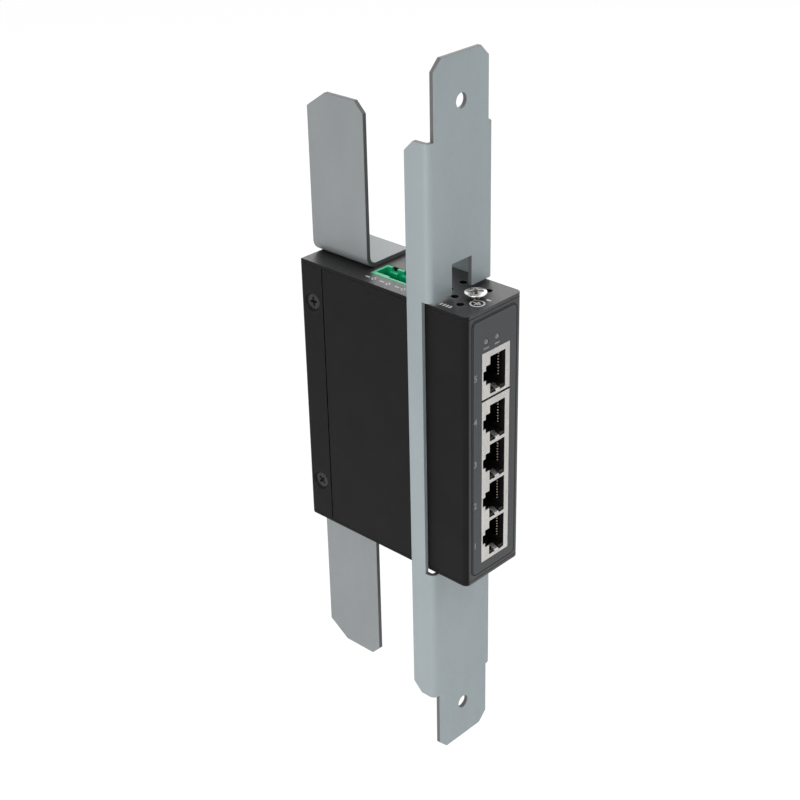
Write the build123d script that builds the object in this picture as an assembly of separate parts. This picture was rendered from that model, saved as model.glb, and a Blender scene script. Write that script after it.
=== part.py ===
from build123d import *
import os

# Slim five-socket Ethernet switch in a case of two folded sheets.
# A channel bracket crosses its front and two L brackets stand at its rear, all for fixing it to a frame.
# X runs to the right, Y from front to rear and Z up. The origin lies midway between the channel's two
# mounting holes, on the rear face of its web, which is the face that seats.
# All sizes are in millimetres.

# Case
case_width = 26.0
case_depth = 71.0
case_sheet = 1.2
case_inner_bend = 0.8
rear_inner_bend = 0.4
plate_seam = 0.12
ear_seam = 0.4
ear_depth = 10.0
front_reach = 13.0

# Front channel bracket
channel_sheet = 1.5
channel_inner_bend = 0.7
channel_side_gap = 0.2
channel_left_depth = 9.4
channel_right_depth = 18.0
hole_spacing = 216.0
hole_diameter = 4.6
hole_to_tab_end = 14.3
hole_to_flange_end = 9.5
tab_width = 24.2
tab_corner = 3.5
flange_corner = 3.5
window_depth = 3.3
window_end_gap = 0.9
notch_width = 9.0
notch_height = 9.9

# Rear L brackets
rear_sheet = 1.5
rear_tab_inner_bend = 2.5
rear_tab_left = -6.3
rear_tab_width = 24.2
rear_tab_reach = 54.2
rear_tab_front_corner = 3.5
rear_tab_rear_corner_y = 8.0
rear_tab_rear_corner_z = 5.5

# Sockets, with the latch on the left and the contacts on the right
port_pitch = 13.97
bank_ports = 4
bank_margin = 8.2
uplink_height = 15.8
jack_gap = 0.7
jack_width = 13.1
jack_depth = 21.0
jack_proud = 0.25
panel_above_jacks = 14.4
panel_below_jacks = 6.2
jack_cutout_gap = 0.1
shield_sheet = 0.3
shield_gap = 0.05
socket_right_wall = 2.1
socket_width = 7.2
socket_half_height = 5.84
socket_depth = 12.8
shoulder_width = 2.0
shoulder_half_height = 3.2
latch_width = 1.2
latch_half_height = 1.6
finger_drop = 1.1
finger_width = 2.0
finger_sheet = 0.25
finger_from_right = 2.5
finger_recess_depth = 5.0
finger_recess_gap = 0.3
finger_root_overlap = 0.4
finger_root_rise = 0.35
finger_root_bend = 0.25
finger_crest_depth = 2.6
finger_crest_rise = 0.25
finger_crest_bend = 0.6
finger_end_depth = 3.9
finger_end_rise = 0.45
contact_pitch = 1.016
contact_count = 8
contact_width = 0.45
contact_thickness = 0.35
contact_nose_depth = 2.7
contact_free_depth = 9.6
contact_tail_depth = 13.8
contact_lift = 2.3

# Front label
label_width = 21.0
label_margin = 2.5
label_corner = 2.0
label_thickness = 0.25

# Status lights
light_spacing = 5.08
light_left = -4.16
light_above_jack = 3.6
light_diameter = 1.9
light_hole_gap = 0.1
light_proud = 0.1
light_holder_height = 3.8
light_holder_depth = 6.0
light_holder_overhang = 2.0

# Terminal header in the top plate
terminal_poles = 4
terminal_pitch = 5.08
terminal_end_margin = 1.14
terminal_width = 8.0
terminal_from_main_board = 5.9
terminal_from_front = 22.4
terminal_height = 12.0
terminal_wall = 1.0
terminal_floor = 2.0
terminal_slot_width = 2.2
terminal_slot_depth = 1.3
terminal_key_width = 3.4
terminal_key_reach = 0.8
terminal_step_length = 5.9
terminal_step_reach = 0.6
terminal_cutout_gap = 0.1
terminal_pin = 1.0
terminal_pin_below_rim = 4.6

# Vents in the top plate
vent_diameter = 2.4
vent_pitch_x = 6.5
vent_pitch_y = 5.0
vent_from_front = 8.0

# Earth screw
earth_from_front = 7.5
earth_thread = 3.0
earth_head_diameter = 7.0
earth_head_height = 1.8
earth_head_round = 1.3
earth_lift = 1.7
earth_engagement = 4.0
earth_nut_diameter = 6.0
earth_nut_height = 2.5

# Countersunk screws through the ears
side_screw_from_rear = 5.2
side_screw_spread = 66.8
small_thread = 3.0
thread_gap = 0.05
dimple_diameter = 7.0
flat_head_diameter = 5.5
joggle_thickness = 1.2
joggle_overlap = 1.5
joggle_end_gap = 2.0
joggle_margin = 4.5
collar_wall = 0.8
collar_height = 1.5

# Countersunk screws through the rear brackets' feet
foot_screw_right = 2.4
foot_screw_rear = 4.7
foot_screw_step_x = 9.0
foot_screw_step_y = 7.5
foot_screw_length = 5.0
foot_screw_thread = 2.5
foot_screw_head = 4.4
screw_clearance = 0.2

# Weld studs and nuts that hold the channel to the case
stud_spread = 60.0
nut_flats = 5.5
nut_height = 2.4
stud_past_nut = 0.3

# Circuit boards
board_thickness = 1.6
standoff_height = 3.1
standoff_flats = 5.0
board_front_gap = 0.3
board_end_gap = 3.0
board_rear_gap = 9.0
board_corner = 1.0
board_screw_thread = 2.5
board_screw_head = 4.6
board_screw_head_height = 1.8
board_hole_inset = 4.0
board_hole_behind_magnetics = 3.5
standoff_floor = 0.4
board_screw_end_gap = 0.4
power_board_margin_x = 2.2
power_board_margin_y = 1.0
link_header_width = 2.6
link_header_length = 12.7
link_header_height = 2.5
link_header_behind_magnetics = 1.0

# Board parts
magnetics_height = 5.9
magnetics_length = 12.0
magnetics_width = 10.0
magnetics_behind_jack = 2.3
chip_side = 14.0
chip_height = 1.5
chip_skirt = 1.0
chip_skirt_height = 0.4
chip_behind_magnetics = 4.5
crystal_length = 11.0
crystal_width = 4.6
crystal_height = 3.5
part_gap = 3.0
capacitor_diameter = 8.0
capacitor_length = 11.0
capacitor_round = 0.5
inductor_side = 9.6
inductor_height = 5.0
inductor_corner = 2.0
fuse_length = 7.0
fuse_width = 3.2
fuse_height = 2.6
regulator_side = 6.5
regulator_height = 2.3
regulator_tab = 1.8
regulator_tab_height = 0.9
regulator_tab_inset = 1.0
fuse_from_main_board = 1.5

# Planes and levels that follow from the sizes above
bank_height = (bank_ports - 1) * port_pitch + 2 * bank_margin
case_height = panel_above_jacks + uplink_height + jack_gap + bank_height + panel_below_jacks
half_width = case_width / 2
top = case_height / 2
web_front = -channel_sheet
front = web_front - front_reach
rear = front + case_depth
wall_inside = half_width - case_sheet
plate_inside = top - case_sheet
panel_inside = front + case_sheet
ear_front = rear - ear_depth
board_outer = wall_inside - standoff_height
board_face = board_outer - board_thickness
terminal_x = board_face - terminal_from_main_board - terminal_width / 2
jack_right = board_face
jack_left = jack_right - jack_width
jack_front = front - jack_proud
jack_back = jack_front + jack_depth
uplink_top = top - panel_above_jacks
uplink_bottom = uplink_top - uplink_height
uplink_centre = (uplink_top + uplink_bottom) / 2
bank_top = uplink_bottom - jack_gap
bank_bottom = bank_top - bank_height
bank_centres = [bank_top - bank_margin - i * port_pitch for i in range(bank_ports)]
socket_right = jack_right - socket_right_wall
socket_left = socket_right - socket_width
light_z = uplink_top + light_above_jack
side_screw_y = rear - side_screw_from_rear
small_hole = small_thread + 2 * screw_clearance
collar_outer = small_thread + 2 * collar_wall
magnetics_front = jack_back + magnetics_behind_jack
magnetics_back = magnetics_front + magnetics_width
through = 1.0
TURN = {"x": Rot(0, 90, 0), "y": Rot(-90, 0, 0), "z": Rot(0, 0, 0)}


def block(x0, x1, y0, y1, z0, z1):
    """Box between two corners."""
    middle = Pos((x0 + x1) / 2, (y0 + y1) / 2, (z0 + z1) / 2)
    return middle * Box(x1 - x0, y1 - y0, z1 - z0)


def rod(x, y, z, diameter, length, axis="z"):
    """Round bar that starts at a point and runs along an axis, backwards where the length is negative."""
    size = abs(length)
    return Pos(x, y, z) * TURN[axis] * Pos(0, 0, length / 2) * Cylinder(diameter / 2, size)


def cone(x, y, z, diameter0, diameter1, length, axis="z"):
    """Cone that starts at a point with one diameter and ends further along an axis with another."""
    if length < 0:
        diameter0, diameter1 = diameter1, diameter0
    shape = Cone(diameter0 / 2, diameter1 / 2, abs(length))
    return Pos(x, y, z) * TURN[axis] * Pos(0, 0, length / 2) * shape


def hex_bar(x, y, z, flats, length):
    """Hexagonal bar along X that starts at a point."""
    outline = RegularPolygon(flats / 2, 6, major_radius=False)
    bar = extrude(outline, abs(length))
    if length < 0:
        bar = Pos(0, 0, length) * bar
    return Pos(x, y, z) * TURN["x"] * bar


def wedge_along_x(corner_y, corner_z, reach_y, reach_z):
    """Three-sided bar along X that takes off a corner of a plate which lies in the YZ plane."""
    points = [(corner_y, corner_z), (corner_y + reach_y, corner_z), (corner_y, corner_z + reach_z)]
    outline = Polygon(*points, align=None)
    return extrude(Plane.YZ * outline, case_width, both=True)


def folded_u(half, start, end, sheet, inner_bend, bottom, height):
    """U of folded sheet seen from above, closed at the front and open at the rear."""

    def outline(side, first, bend):
        flat = Pos(0, (first + end) / 2) * Rectangle(2 * side, end - first)
        return fillet(flat.vertices().sort_by(Axis.Y)[:2], bend)

    section = outline(half, start, inner_bend + sheet) - outline(half - sheet, start + sheet, inner_bend)
    return extrude(Plane.XY.offset(bottom) * section, height)


def side_screw_places():
    """The four places of the ear screws: side, Y and Z."""
    half = side_screw_spread / 2
    return [(side, side_screw_y, z) for side in (1, -1) for z in (half, -half)]


def foot_screw_places():
    """The two places of the screws in each rear bracket's foot: X and Y."""
    first = (half_width - foot_screw_right, rear - foot_screw_rear)
    return [first, (first[0] - foot_screw_step_x, first[1] - foot_screw_step_y)]


def stud_places():
    """The four places of the channel's weld studs: side, Y and Z."""
    half = stud_spread / 2
    strip_middle = web_front + (window_depth + channel_left_depth) / 2
    return [(side, strip_middle, z) for side in (1, -1) for z in (half, -half)]


def light_places():
    """The X of each status light."""
    return [light_left, light_left + light_spacing]


def jack_cutout(y0, y1, gap):
    """Opening that clears both sockets' frames."""
    left, right = jack_left - gap, jack_right + gap
    return block(left, right, y0, y1, bank_bottom - gap, uplink_top + gap)


def terminal_bounds():
    """X and Y limits of the terminal header."""
    length = terminal_poles * terminal_pitch + 2 * terminal_end_margin
    x0 = terminal_x - terminal_width / 2
    y0 = front + terminal_from_front
    return x0, x0 + terminal_width, y0, y0 + length


def terminal_pole_places():
    """The Y of each terminal pole."""
    start = terminal_bounds()[2] + terminal_end_margin
    return [start + (i + 0.5) * terminal_pitch for i in range(terminal_poles)]


def vent_places():
    """Staggered rows of vents, with the first row's middle left for the earth screw."""
    first = front + vent_from_front
    places = []
    for row, columns in enumerate([(-1, 1), (-0.5, 0.5), (-1, 0, 1)]):
        places += [(column * vent_pitch_x, first + row * vent_pitch_y) for column in columns]
    return places


def make_wrap_shell():
    """Left wall, front panel and right wall, with joggled tabs that carry the ear screws."""
    wall_end = ear_front - ear_seam
    edge = plate_inside - plate_seam
    shell = folded_u(half_width, front, wall_end, case_sheet, case_inner_bend, -edge, 2 * edge)
    tab_half = plate_inside - joggle_margin
    tab_inside = wall_inside - joggle_thickness
    tab_end = rear - joggle_end_gap
    for side in (1, -1):
        points = [
            (side * half_width, wall_end),
            (side * wall_inside, wall_end),
            (side * wall_inside, tab_end),
            (side * tab_inside, tab_end),
            (side * tab_inside, wall_end),
            (side * wall_inside, wall_end - joggle_overlap),
            (side * half_width, wall_end - joggle_overlap),
        ]
        outline = Plane.XY.offset(-tab_half) * Polygon(*points, align=None)
        shell += extrude(outline, 2 * tab_half, dir=(0, 0, 1))
    for side, y, z in side_screw_places():
        shell += rod(side * tab_inside, y, z, collar_outer, -side * collar_height, "x")
    for side, y, z in side_screw_places():
        bore = small_thread + 2 * thread_gap
        length = half_width - tab_inside + 2 * collar_height
        shell -= rod(side * half_width, y, z, bore, -side * length, "x")
        sink_mouth = dimple_diameter - 2 * case_sheet
        sink_depth = (sink_mouth - bore) / 2
        shell -= cone(side * wall_inside, y, z, sink_mouth, bore, -side * sink_depth, "x")
    length = case_sheet + 2 * through
    for side, y, z in stud_places():
        shell -= rod(side * (wall_inside - through), y, z, small_hole, side * length, "x")
    shell -= jack_cutout(front - through, panel_inside + through, jack_cutout_gap)
    for x in light_places():
        hole = light_diameter + 2 * light_hole_gap
        shell -= rod(x, front - through, light_z, hole, case_sheet + 2 * through, "y")
    return shell


def make_spine_shell():
    """Top, rear and bottom plates with the side ears, folded from one sheet."""
    rear_bend = rear_inner_bend + case_sheet
    corner = case_inner_bend + case_sheet
    shell = block(-half_width, half_width, front, rear, -top, top)
    shell = fillet(shell.edges().filter_by(Axis.Z).group_by(Axis.Y)[0], corner)
    shell = fillet(shell.edges().group_by(Axis.Y)[-1], rear_bend)
    hollow_back = rear - case_sheet
    hollow = block(-wall_inside, wall_inside, front - through, hollow_back, -plate_inside, plate_inside)
    hollow = fillet(hollow.edges().group_by(Axis.Y)[-1], rear_inner_bend)
    shell -= hollow
    outside = half_width + through
    shell -= block(-outside, outside, front - through, ear_front, -plate_inside, plate_inside)
    for side in (1, -1):
        for level in (plate_inside - plate_seam, -plate_inside):
            x0, x1 = sorted((side * (wall_inside - through), side * outside))
            shell -= block(x0, x1, ear_front - through, rear - rear_bend, level, level + plate_seam)
    for side, y, z in side_screw_places():
        inner_mouth = dimple_diameter - 2 * case_sheet
        shell -= cone(side * wall_inside, y, z, inner_mouth, dimple_diameter, side * case_sheet, "x")
    bore = foot_screw_thread + 2 * thread_gap
    length = case_sheet + collar_height + 2 * through
    for x, y in foot_screw_places():
        for level in (1, -1):
            shell += rod(x, y, level * plate_inside, bore + 2 * collar_wall, -level * collar_height)
            shell -= rod(x, y, level * (top + through), bore, -level * length)
    x0, x1, y0, y1 = terminal_bounds()
    gap = terminal_cutout_gap
    shell -= block(x0 - gap, x1 + gap, y0 - gap, y1 + gap, plate_inside - through, top + through)
    holes = [(x, y, vent_diameter) for x, y in vent_places()]
    holes.append((0, front + earth_from_front, earth_thread + 2 * screw_clearance))
    for x, y, diameter in holes:
        shell -= rod(x, y, plate_inside - through, diameter, case_sheet + 2 * through)
    return shell


def make_front_label():
    """Thin overlay on the front panel."""
    height = case_height - 2 * label_margin
    outline = RectangleRounded(label_width, height, label_corner)
    label = extrude(Plane.XZ.offset(-front) * outline, label_thickness)
    label -= jack_cutout(front - through, front + through, jack_cutout_gap)
    for x in light_places():
        label -= rod(x, front - through, light_z, light_diameter + 2 * light_hole_gap, 2 * through, "y")
    return label


def make_channel():
    """Front channel with its window, notch, two tabs and two mounting holes."""
    outer = half_width + channel_side_gap + channel_sheet
    flange_end = hole_spacing / 2 - hole_to_flange_end
    tab_end = hole_spacing / 2 + hole_to_tab_end
    left_back, right_back = web_front + channel_left_depth, web_front + channel_right_depth
    height = 2 * flange_end
    channel = folded_u(outer, web_front, right_back, channel_sheet, channel_inner_bend, -flange_end, height)
    channel -= block(-outer, 0, left_back, right_back, -flange_end, flange_end)
    half_tab = tab_width / 2
    for level in (1, -1):
        channel -= wedge_along_x(right_back, level * flange_end, -flange_corner, -level * flange_corner)
        left_corner = wedge_along_x(left_back, level * flange_end, -flange_corner, -level * flange_corner)
        channel -= Pos(-case_width, 0, 0) * left_corner
        points = [
            (-half_tab, level * (flange_end - through)),
            (-half_tab, level * (tab_end - tab_corner)),
            (-half_tab + tab_corner, level * tab_end),
            (half_tab - tab_corner, level * tab_end),
            (half_tab, level * (tab_end - tab_corner)),
            (half_tab, level * (flange_end - through)),
        ]
        channel += extrude(Plane.XZ * Polygon(*points, align=None), channel_sheet, dir=(0, -1, 0))
        start = web_front - through
        channel -= rod(0, start, level * hole_spacing / 2, hole_diameter, channel_sheet + 2 * through, "y")
    window_half = top + window_end_gap
    outside = outer + through
    channel -= block(-outside, outside, start, web_front + window_depth, -window_half, window_half)
    channel -= block(-notch_width / 2, notch_width / 2, start, through, 0, window_half + notch_height)
    return channel


def make_rear_bracket():
    """Upper rear bracket: a foot on the case and a tall tab, folded from one strip."""
    bend = rear_tab_inner_bend

    def outline(left, bottom, radius):
        width, height = half_width - left, top + rear_tab_reach - bottom
        flat = Pos(left + width / 2, bottom + height / 2) * Rectangle(width, height)
        corner = flat.vertices().sort_by(Axis.Y)[:2].sort_by(Axis.X)[0]
        return fillet(corner, radius)

    section = outline(rear_tab_left, top, bend + rear_sheet)
    section -= outline(rear_tab_left + rear_sheet, top + rear_sheet, bend)
    bracket = extrude(Plane.XZ.offset(-rear) * section, rear_tab_width)
    tab_end = top + rear_tab_reach
    bracket -= wedge_along_x(rear - rear_tab_width, tab_end, rear_tab_front_corner, -rear_tab_front_corner)
    bracket -= wedge_along_x(rear, tab_end, -rear_tab_rear_corner_y, -rear_tab_rear_corner_z)
    for x, y in foot_screw_places():
        hole = foot_screw_thread + 2 * screw_clearance
        bracket -= rod(x, y, top - through, hole, rear_sheet + 2 * through)
        bracket -= cone(x, y, top + rear_sheet, foot_screw_head, hole, (hole - foot_screw_head) / 2)
    return bracket


def flat_screw(thread, length, head_diameter):
    """Countersunk screw along Z with the top of its head at zero."""
    head_depth = (head_diameter - thread) / 2
    return cone(0, 0, 0, head_diameter, thread, -head_depth) + rod(0, 0, 0, thread, -length)


def pan_screw(thread, length, head_diameter, head_height, head_round):
    """Pan screw along Z with the underside of its head at zero."""
    head = rod(0, 0, 0, head_diameter, head_height)
    head = fillet(head.edges().sort_by(Axis.Z)[-1], head_round)
    shank = rod(0, 0, 0, thread, -length)
    shank = chamfer(shank.edges().sort_by(Axis.Z)[0], thread / 8)
    return head + shank


def make_rear_bracket_screws():
    """Flush screws in the feet of both rear brackets."""
    screw = flat_screw(foot_screw_thread, foot_screw_length, foot_screw_head - 2 * thread_gap)
    upper = [Pos(x, y, top + rear_sheet) * screw for x, y in foot_screw_places()]
    return upper + [mirror(screw, Plane.XY) for screw in upper]


def make_shell_screws():
    """Countersunk screws that hold the two shells together."""
    inset = (dimple_diameter - flat_head_diameter) / 2
    length = case_sheet + joggle_thickness + collar_height + 2 * thread_gap - inset
    screw = flat_screw(small_thread, length, flat_head_diameter - 2 * thread_gap)
    face = half_width - inset
    return [Pos(side * face, y, z) * Rot(0, 90 * side, 0) * screw for side, y, z in side_screw_places()]


def make_channel_studs():
    """Weld studs on the inside of the channel's flanges."""
    length = channel_side_gap + case_sheet + nut_height + stud_past_nut
    start = half_width + channel_side_gap
    return [rod(side * start, y, z, small_thread, -side * length, "x") for side, y, z in stud_places()]


def make_channel_nuts():
    """Nuts on the studs, inside the case."""
    bore = small_thread + 2 * thread_gap
    nuts = []
    for side, y, z in stud_places():
        nut = hex_bar(side * wall_inside, y, z, nut_flats, -side * nut_height)
        nuts.append(nut - rod(side * wall_inside, y, z, bore, -side * nut_height, "x"))
    return nuts


def make_earth_screw():
    """Earth screw, turned out so far that a lug fits under its head."""
    length = earth_lift + case_sheet + earth_engagement
    screw = pan_screw(earth_thread, length, earth_head_diameter, earth_head_height, earth_head_round)
    return Pos(0, front + earth_from_front, top + earth_lift) * screw


def make_earth_nut():
    """Press nut under the top plate for the earth screw."""
    nut = rod(0, front + earth_from_front, plate_inside, earth_nut_diameter, -earth_nut_height)
    bore = earth_thread + 2 * thread_gap
    return nut - rod(0, front + earth_from_front, plate_inside, bore, -earth_nut_height)


def socket_space(centre, y0, y1):
    """Stepped plug space: the body, the shoulder and the latch."""
    shoulder_left = socket_left - shoulder_width
    steps = [
        (socket_left, socket_half_height),
        (shoulder_left, shoulder_half_height),
        (shoulder_left - latch_width, latch_half_height),
    ]
    boxes = [block(left, socket_right, y0, y1, centre - half, centre + half) for left, half in steps]
    return boxes[0] + boxes[1] + boxes[2]


def finger_limits():
    """Left and right of the spring fingers."""
    right = socket_right - finger_from_right
    return right - finger_width, right


def spring_finger(centre):
    """Plug grounding finger, folded in from the frame and arched into the plug space."""
    low = centre - socket_half_height - finger_drop
    middle = jack_front + shield_sheet / 2
    points = [
        (middle, low - finger_root_overlap),
        (middle, low + finger_root_rise),
        (middle + finger_crest_depth, low + finger_drop + finger_crest_rise),
        (middle + finger_end_depth, low + finger_end_rise),
    ]
    path = FilletPolyline(*points, radius=[finger_root_bend, finger_crest_bend])
    strip = trace(path, finger_sheet)
    left, right = finger_limits()
    return extrude(Plane.YZ.offset(left) * strip, right - left)


def make_shield(bottom, height, centres):
    """Plated shield, folded round its sockets and open towards the board."""
    sheet = shield_sheet
    shield = block(jack_left, jack_right, jack_front, jack_back, bottom, bottom + height)
    shield -= block(
        jack_left + sheet,
        jack_right + through,
        jack_front + sheet,
        jack_back - sheet,
        bottom + sheet,
        bottom + height - sheet,
    )
    for centre in centres:
        shield -= socket_space(centre, jack_front - through, jack_front + through)
        low = centre - socket_half_height - finger_drop
        shield -= block(socket_left, socket_right, jack_front - through, jack_front + through, low, centre)
    for centre in centres:
        shield += spring_finger(centre)
    return shield


def make_housing(bottom, height, centres):
    """Moulded insert with the stepped plug spaces, finger recesses and contact slots."""
    wall = shield_sheet + shield_gap
    housing = block(
        jack_left + wall,
        jack_right,
        jack_front + wall,
        jack_back - wall,
        bottom + wall,
        bottom + height - wall,
    )
    slot_half = (contact_count - 1) / 2 * contact_pitch + contact_width
    slot_right = socket_right + 3 * contact_thickness
    left, right = finger_limits()
    for centre in centres:
        housing -= socket_space(centre, jack_front, jack_front + socket_depth)
        low = centre - socket_half_height - finger_drop
        recess_back = jack_front + finger_recess_depth
        gap = finger_recess_gap
        housing -= block(left - gap, right + gap, jack_front, recess_back, low, centre)
        first, last = centre - slot_half, centre + slot_half
        start = jack_front + contact_nose_depth - 2 * contact_thickness
        end = jack_front + contact_tail_depth + 2 * contact_thickness
        housing -= block(socket_right - through, slot_right, start, end, first, last)
        tail = jack_front + contact_tail_depth - 2 * contact_thickness
        housing -= block(socket_right, jack_right + through, tail, end, first, last)
    return housing


def make_contacts(centres):
    """Bent contact wires of the sockets, from the board to the free end."""
    back_x = socket_right + 1.5 * contact_thickness
    nose = jack_front + contact_nose_depth
    tail = jack_front + contact_tail_depth
    free = jack_front + contact_free_depth
    points = [
        (board_face, tail),
        (back_x, tail),
        (back_x, nose),
        (back_x - 2 * contact_thickness, nose),
        (socket_right - contact_lift, free),
    ]
    path = FilletPolyline(*points, radius=contact_thickness)
    strip = trace(path, contact_thickness)
    edge = block(board_face, board_face + through, tail - through, tail + through, -through, through)
    wires = []
    for centre in centres:
        for i in range(contact_count):
            z = centre + (i - (contact_count - 1) / 2) * contact_pitch - contact_width / 2
            wires.append(extrude(Plane.XY.offset(z) * strip, contact_width) - Pos(0, 0, z) * edge)
    return wires


def make_status_lights():
    """Lens of each status light."""
    start = panel_inside + board_front_gap
    length = start - (front - label_thickness - light_proud)
    lenses = []
    for x in light_places():
        lens = rod(x, start, light_z, light_diameter, -length, "y")
        lenses.append(fillet(lens.edges().sort_by(Axis.Y)[0], light_diameter / 5))
    return lenses


def make_light_holder():
    """Two-high light holder that stands on the main board."""
    start = panel_inside + board_front_gap
    left = light_left - light_holder_overhang
    low = light_z - light_holder_height / 2
    holder = block(left, board_face, start, start + light_holder_depth, low, low + light_holder_height)
    return chamfer(holder.edges().filter_by(Axis.Z).group_by(Axis.X)[0], light_holder_height / 8)


def make_terminal_header():
    """Terminal header: an open trough with a slot and a key for each pole and a step at its rear end."""
    x0, x1, y0, y1 = terminal_bounds()
    base = top - terminal_height
    wall = terminal_wall
    header = block(x0, x1, y0, y1, base, top)
    header -= block(x0 + wall, x1 - wall, y0 + wall, y1 - wall, base + terminal_floor, top + through)
    floor_top = base + terminal_floor
    slot_low = top - terminal_slot_depth
    key_left = x1 - wall - terminal_key_reach
    for y in terminal_pole_places():
        half = terminal_key_width / 2
        header += block(key_left, x1, y - half, y + half, floor_top, slot_low)
        half = terminal_slot_width / 2
        header -= block(x1 - 2 * wall, x1 + through, y - half, y + half, slot_low, top + through)
        left, right, half = terminal_x - terminal_pin / 2, terminal_x + terminal_pin / 2, terminal_pin / 2
        header -= block(left, right, y - half, y + half, base - through, floor_top + through)
    step_front = y1 - wall - terminal_step_length
    return header + block(x0, x0 + wall + terminal_step_reach, step_front, y1, base, top)


def make_terminal_pins():
    """Square pins of the terminal header, standing on the power board."""
    base = top - terminal_height
    tip = top - terminal_pin_below_rim
    half = terminal_pin / 2
    pins = []
    for y in terminal_pole_places():
        pin = block(terminal_x - half, terminal_x + half, y - half, y + half, base, tip)
        pins.append(chamfer(pin.faces().sort_by(Axis.Z)[-1].edges(), terminal_pin / 5))
    return pins


def board_hole_places():
    """Where the main board is screwed to its standoffs: Y and Z."""
    back = ear_front - ear_seam - joggle_overlap - standoff_flats
    level = plate_inside - board_end_gap - board_hole_inset
    upper_forward = (magnetics_front + terminal_bounds()[2]) / 2 + board_hole_inset
    lower_forward = magnetics_back + board_hole_behind_magnetics
    return [(back, level), (back, -level), (upper_forward, level), (lower_forward, -level)]


def make_main_board():
    """Upright circuit board behind the sockets."""
    edge = plate_inside - board_end_gap
    start, end = panel_inside + board_front_gap, rear - board_rear_gap
    board = block(board_face, board_outer, start, end, -edge, edge)
    board = fillet(board.edges().filter_by(Axis.X), board_corner)
    for y, z in board_hole_places():
        hole = board_screw_thread + 2 * screw_clearance
        board -= rod(board_face - through, y, z, hole, board_thickness + 2 * through, "x")
    return board


def make_power_board():
    """Level board that carries the terminal header."""
    x0, x1, y0, y1 = terminal_bounds()
    level = top - terminal_height
    margin = power_board_margin_y
    left, low = x0 - power_board_margin_x, level - board_thickness
    return block(left, board_face, y0 - margin, y1 + margin, low, level)


def make_link_header():
    """Pin strip that joins the power board to the main board."""
    level = top - terminal_height - board_thickness
    left, low = board_face - link_header_width, level - link_header_height
    start = magnetics_back + link_header_behind_magnetics
    strip = block(left, board_face, start, start + link_header_length, low, level)
    return chamfer(strip.edges().filter_by(Axis.Y).sort_by(Axis.X)[:2], link_header_width / 6)


def make_board_standoffs():
    """Standoffs between the main board and the right wall."""
    bars = []
    for y, z in board_hole_places():
        bar = hex_bar(board_outer, y, z, standoff_flats, standoff_height)
        bore = board_screw_thread + 2 * thread_gap
        bars.append(bar - rod(board_outer, y, z, bore, standoff_height - standoff_floor, "x"))
    return bars


def make_board_screws():
    """Pan screws that hold the main board."""
    length = board_thickness + standoff_height - standoff_floor - board_screw_end_gap
    head_round = board_screw_head_height / 3
    screws = []
    for y, z in board_hole_places():
        screw = pan_screw(board_screw_thread, length, board_screw_head, board_screw_head_height, head_round)
        screws.append(Pos(board_face, y, z) * Rot(0, -90, 0) * screw)
    return screws


def make_port_magnetics():
    """Isolating transformer block of each socket, on the main board."""
    left, half = board_face - magnetics_height, magnetics_length / 2
    blocks = []
    for centre in [uplink_centre] + bank_centres:
        part = block(left, board_face, magnetics_front, magnetics_back, centre - half, centre + half)
        blocks.append(chamfer(part.faces().sort_by(Axis.X)[0].edges(), magnetics_height / 12))
    return blocks


def chip_corner():
    """Front and lower edges of the switch chip."""
    middle = (bank_centres[0] + bank_centres[-1]) / 2
    return magnetics_back + chip_behind_magnetics, middle - chip_side / 2


def make_switch_chip():
    """Switching chip: a flat package with a skirt of leads."""
    y0, z0 = chip_corner()
    y1, z1 = y0 + chip_side, z0 + chip_side
    body = block(board_face - chip_height, board_face, y0, y1, z0, z1)
    body = chamfer(body.edges().filter_by(Axis.X), chip_skirt / 2)
    left, out = board_face - chip_skirt_height, chip_skirt
    return body + block(left, board_face, y0 - out, y1 + out, z0 - out, z1 + out)


def make_clock_crystal():
    """Crystal in a round-ended can above the chip."""
    y0, z0 = chip_corner()
    z = z0 + chip_side + chip_skirt + part_gap + crystal_width / 2
    y = y0 + chip_side / 2
    outline = SlotOverall(crystal_length, crystal_width)
    return extrude(Plane.YZ.offset(board_face) * Pos(y, z) * outline, -crystal_height)


def capacitor(x, y, z, axis, length):
    """Round can with a softened far end."""
    can = rod(x, y, z, capacitor_diameter, length, axis)
    line = {"x": Axis.X, "z": Axis.Z}[axis]
    return fillet(can.edges().sort_by(line)[0], capacitor_round)


def make_filter_capacitors():
    """One can under the power board and one on the main board."""
    under = top - terminal_height - board_thickness
    left = terminal_bounds()[0] + capacitor_diameter / 4
    first = capacitor(left, terminal_pole_places()[0], under, "z", -capacitor_length)
    y0, z0 = chip_corner()
    z = z0 + chip_side + chip_skirt + 2 * part_gap + crystal_width + capacitor_diameter / 2
    second = capacitor(board_face, y0 + chip_side / 2, z, "x", -capacitor_length)
    return [first, second]


def make_power_inductor():
    """Shielded inductor under the power board."""
    under = top - terminal_height - board_thickness
    left, _, _, end = terminal_bounds()
    start = end - inductor_side
    part = block(left, left + inductor_side, start, end, under - inductor_height, under)
    return chamfer(part.edges().filter_by(Axis.Z), inductor_corner)


def make_supply_fuse():
    """Fuse on the power board, beside the terminal header."""
    level = top - terminal_height
    end = terminal_bounds()[3]
    right = board_face - fuse_from_main_board
    part = block(right - fuse_width, right, end - fuse_length, end, level, level + fuse_height)
    return chamfer(part.edges().filter_by(Axis.Y).group_by(Axis.Z)[-1], fuse_width / 8)


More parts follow.
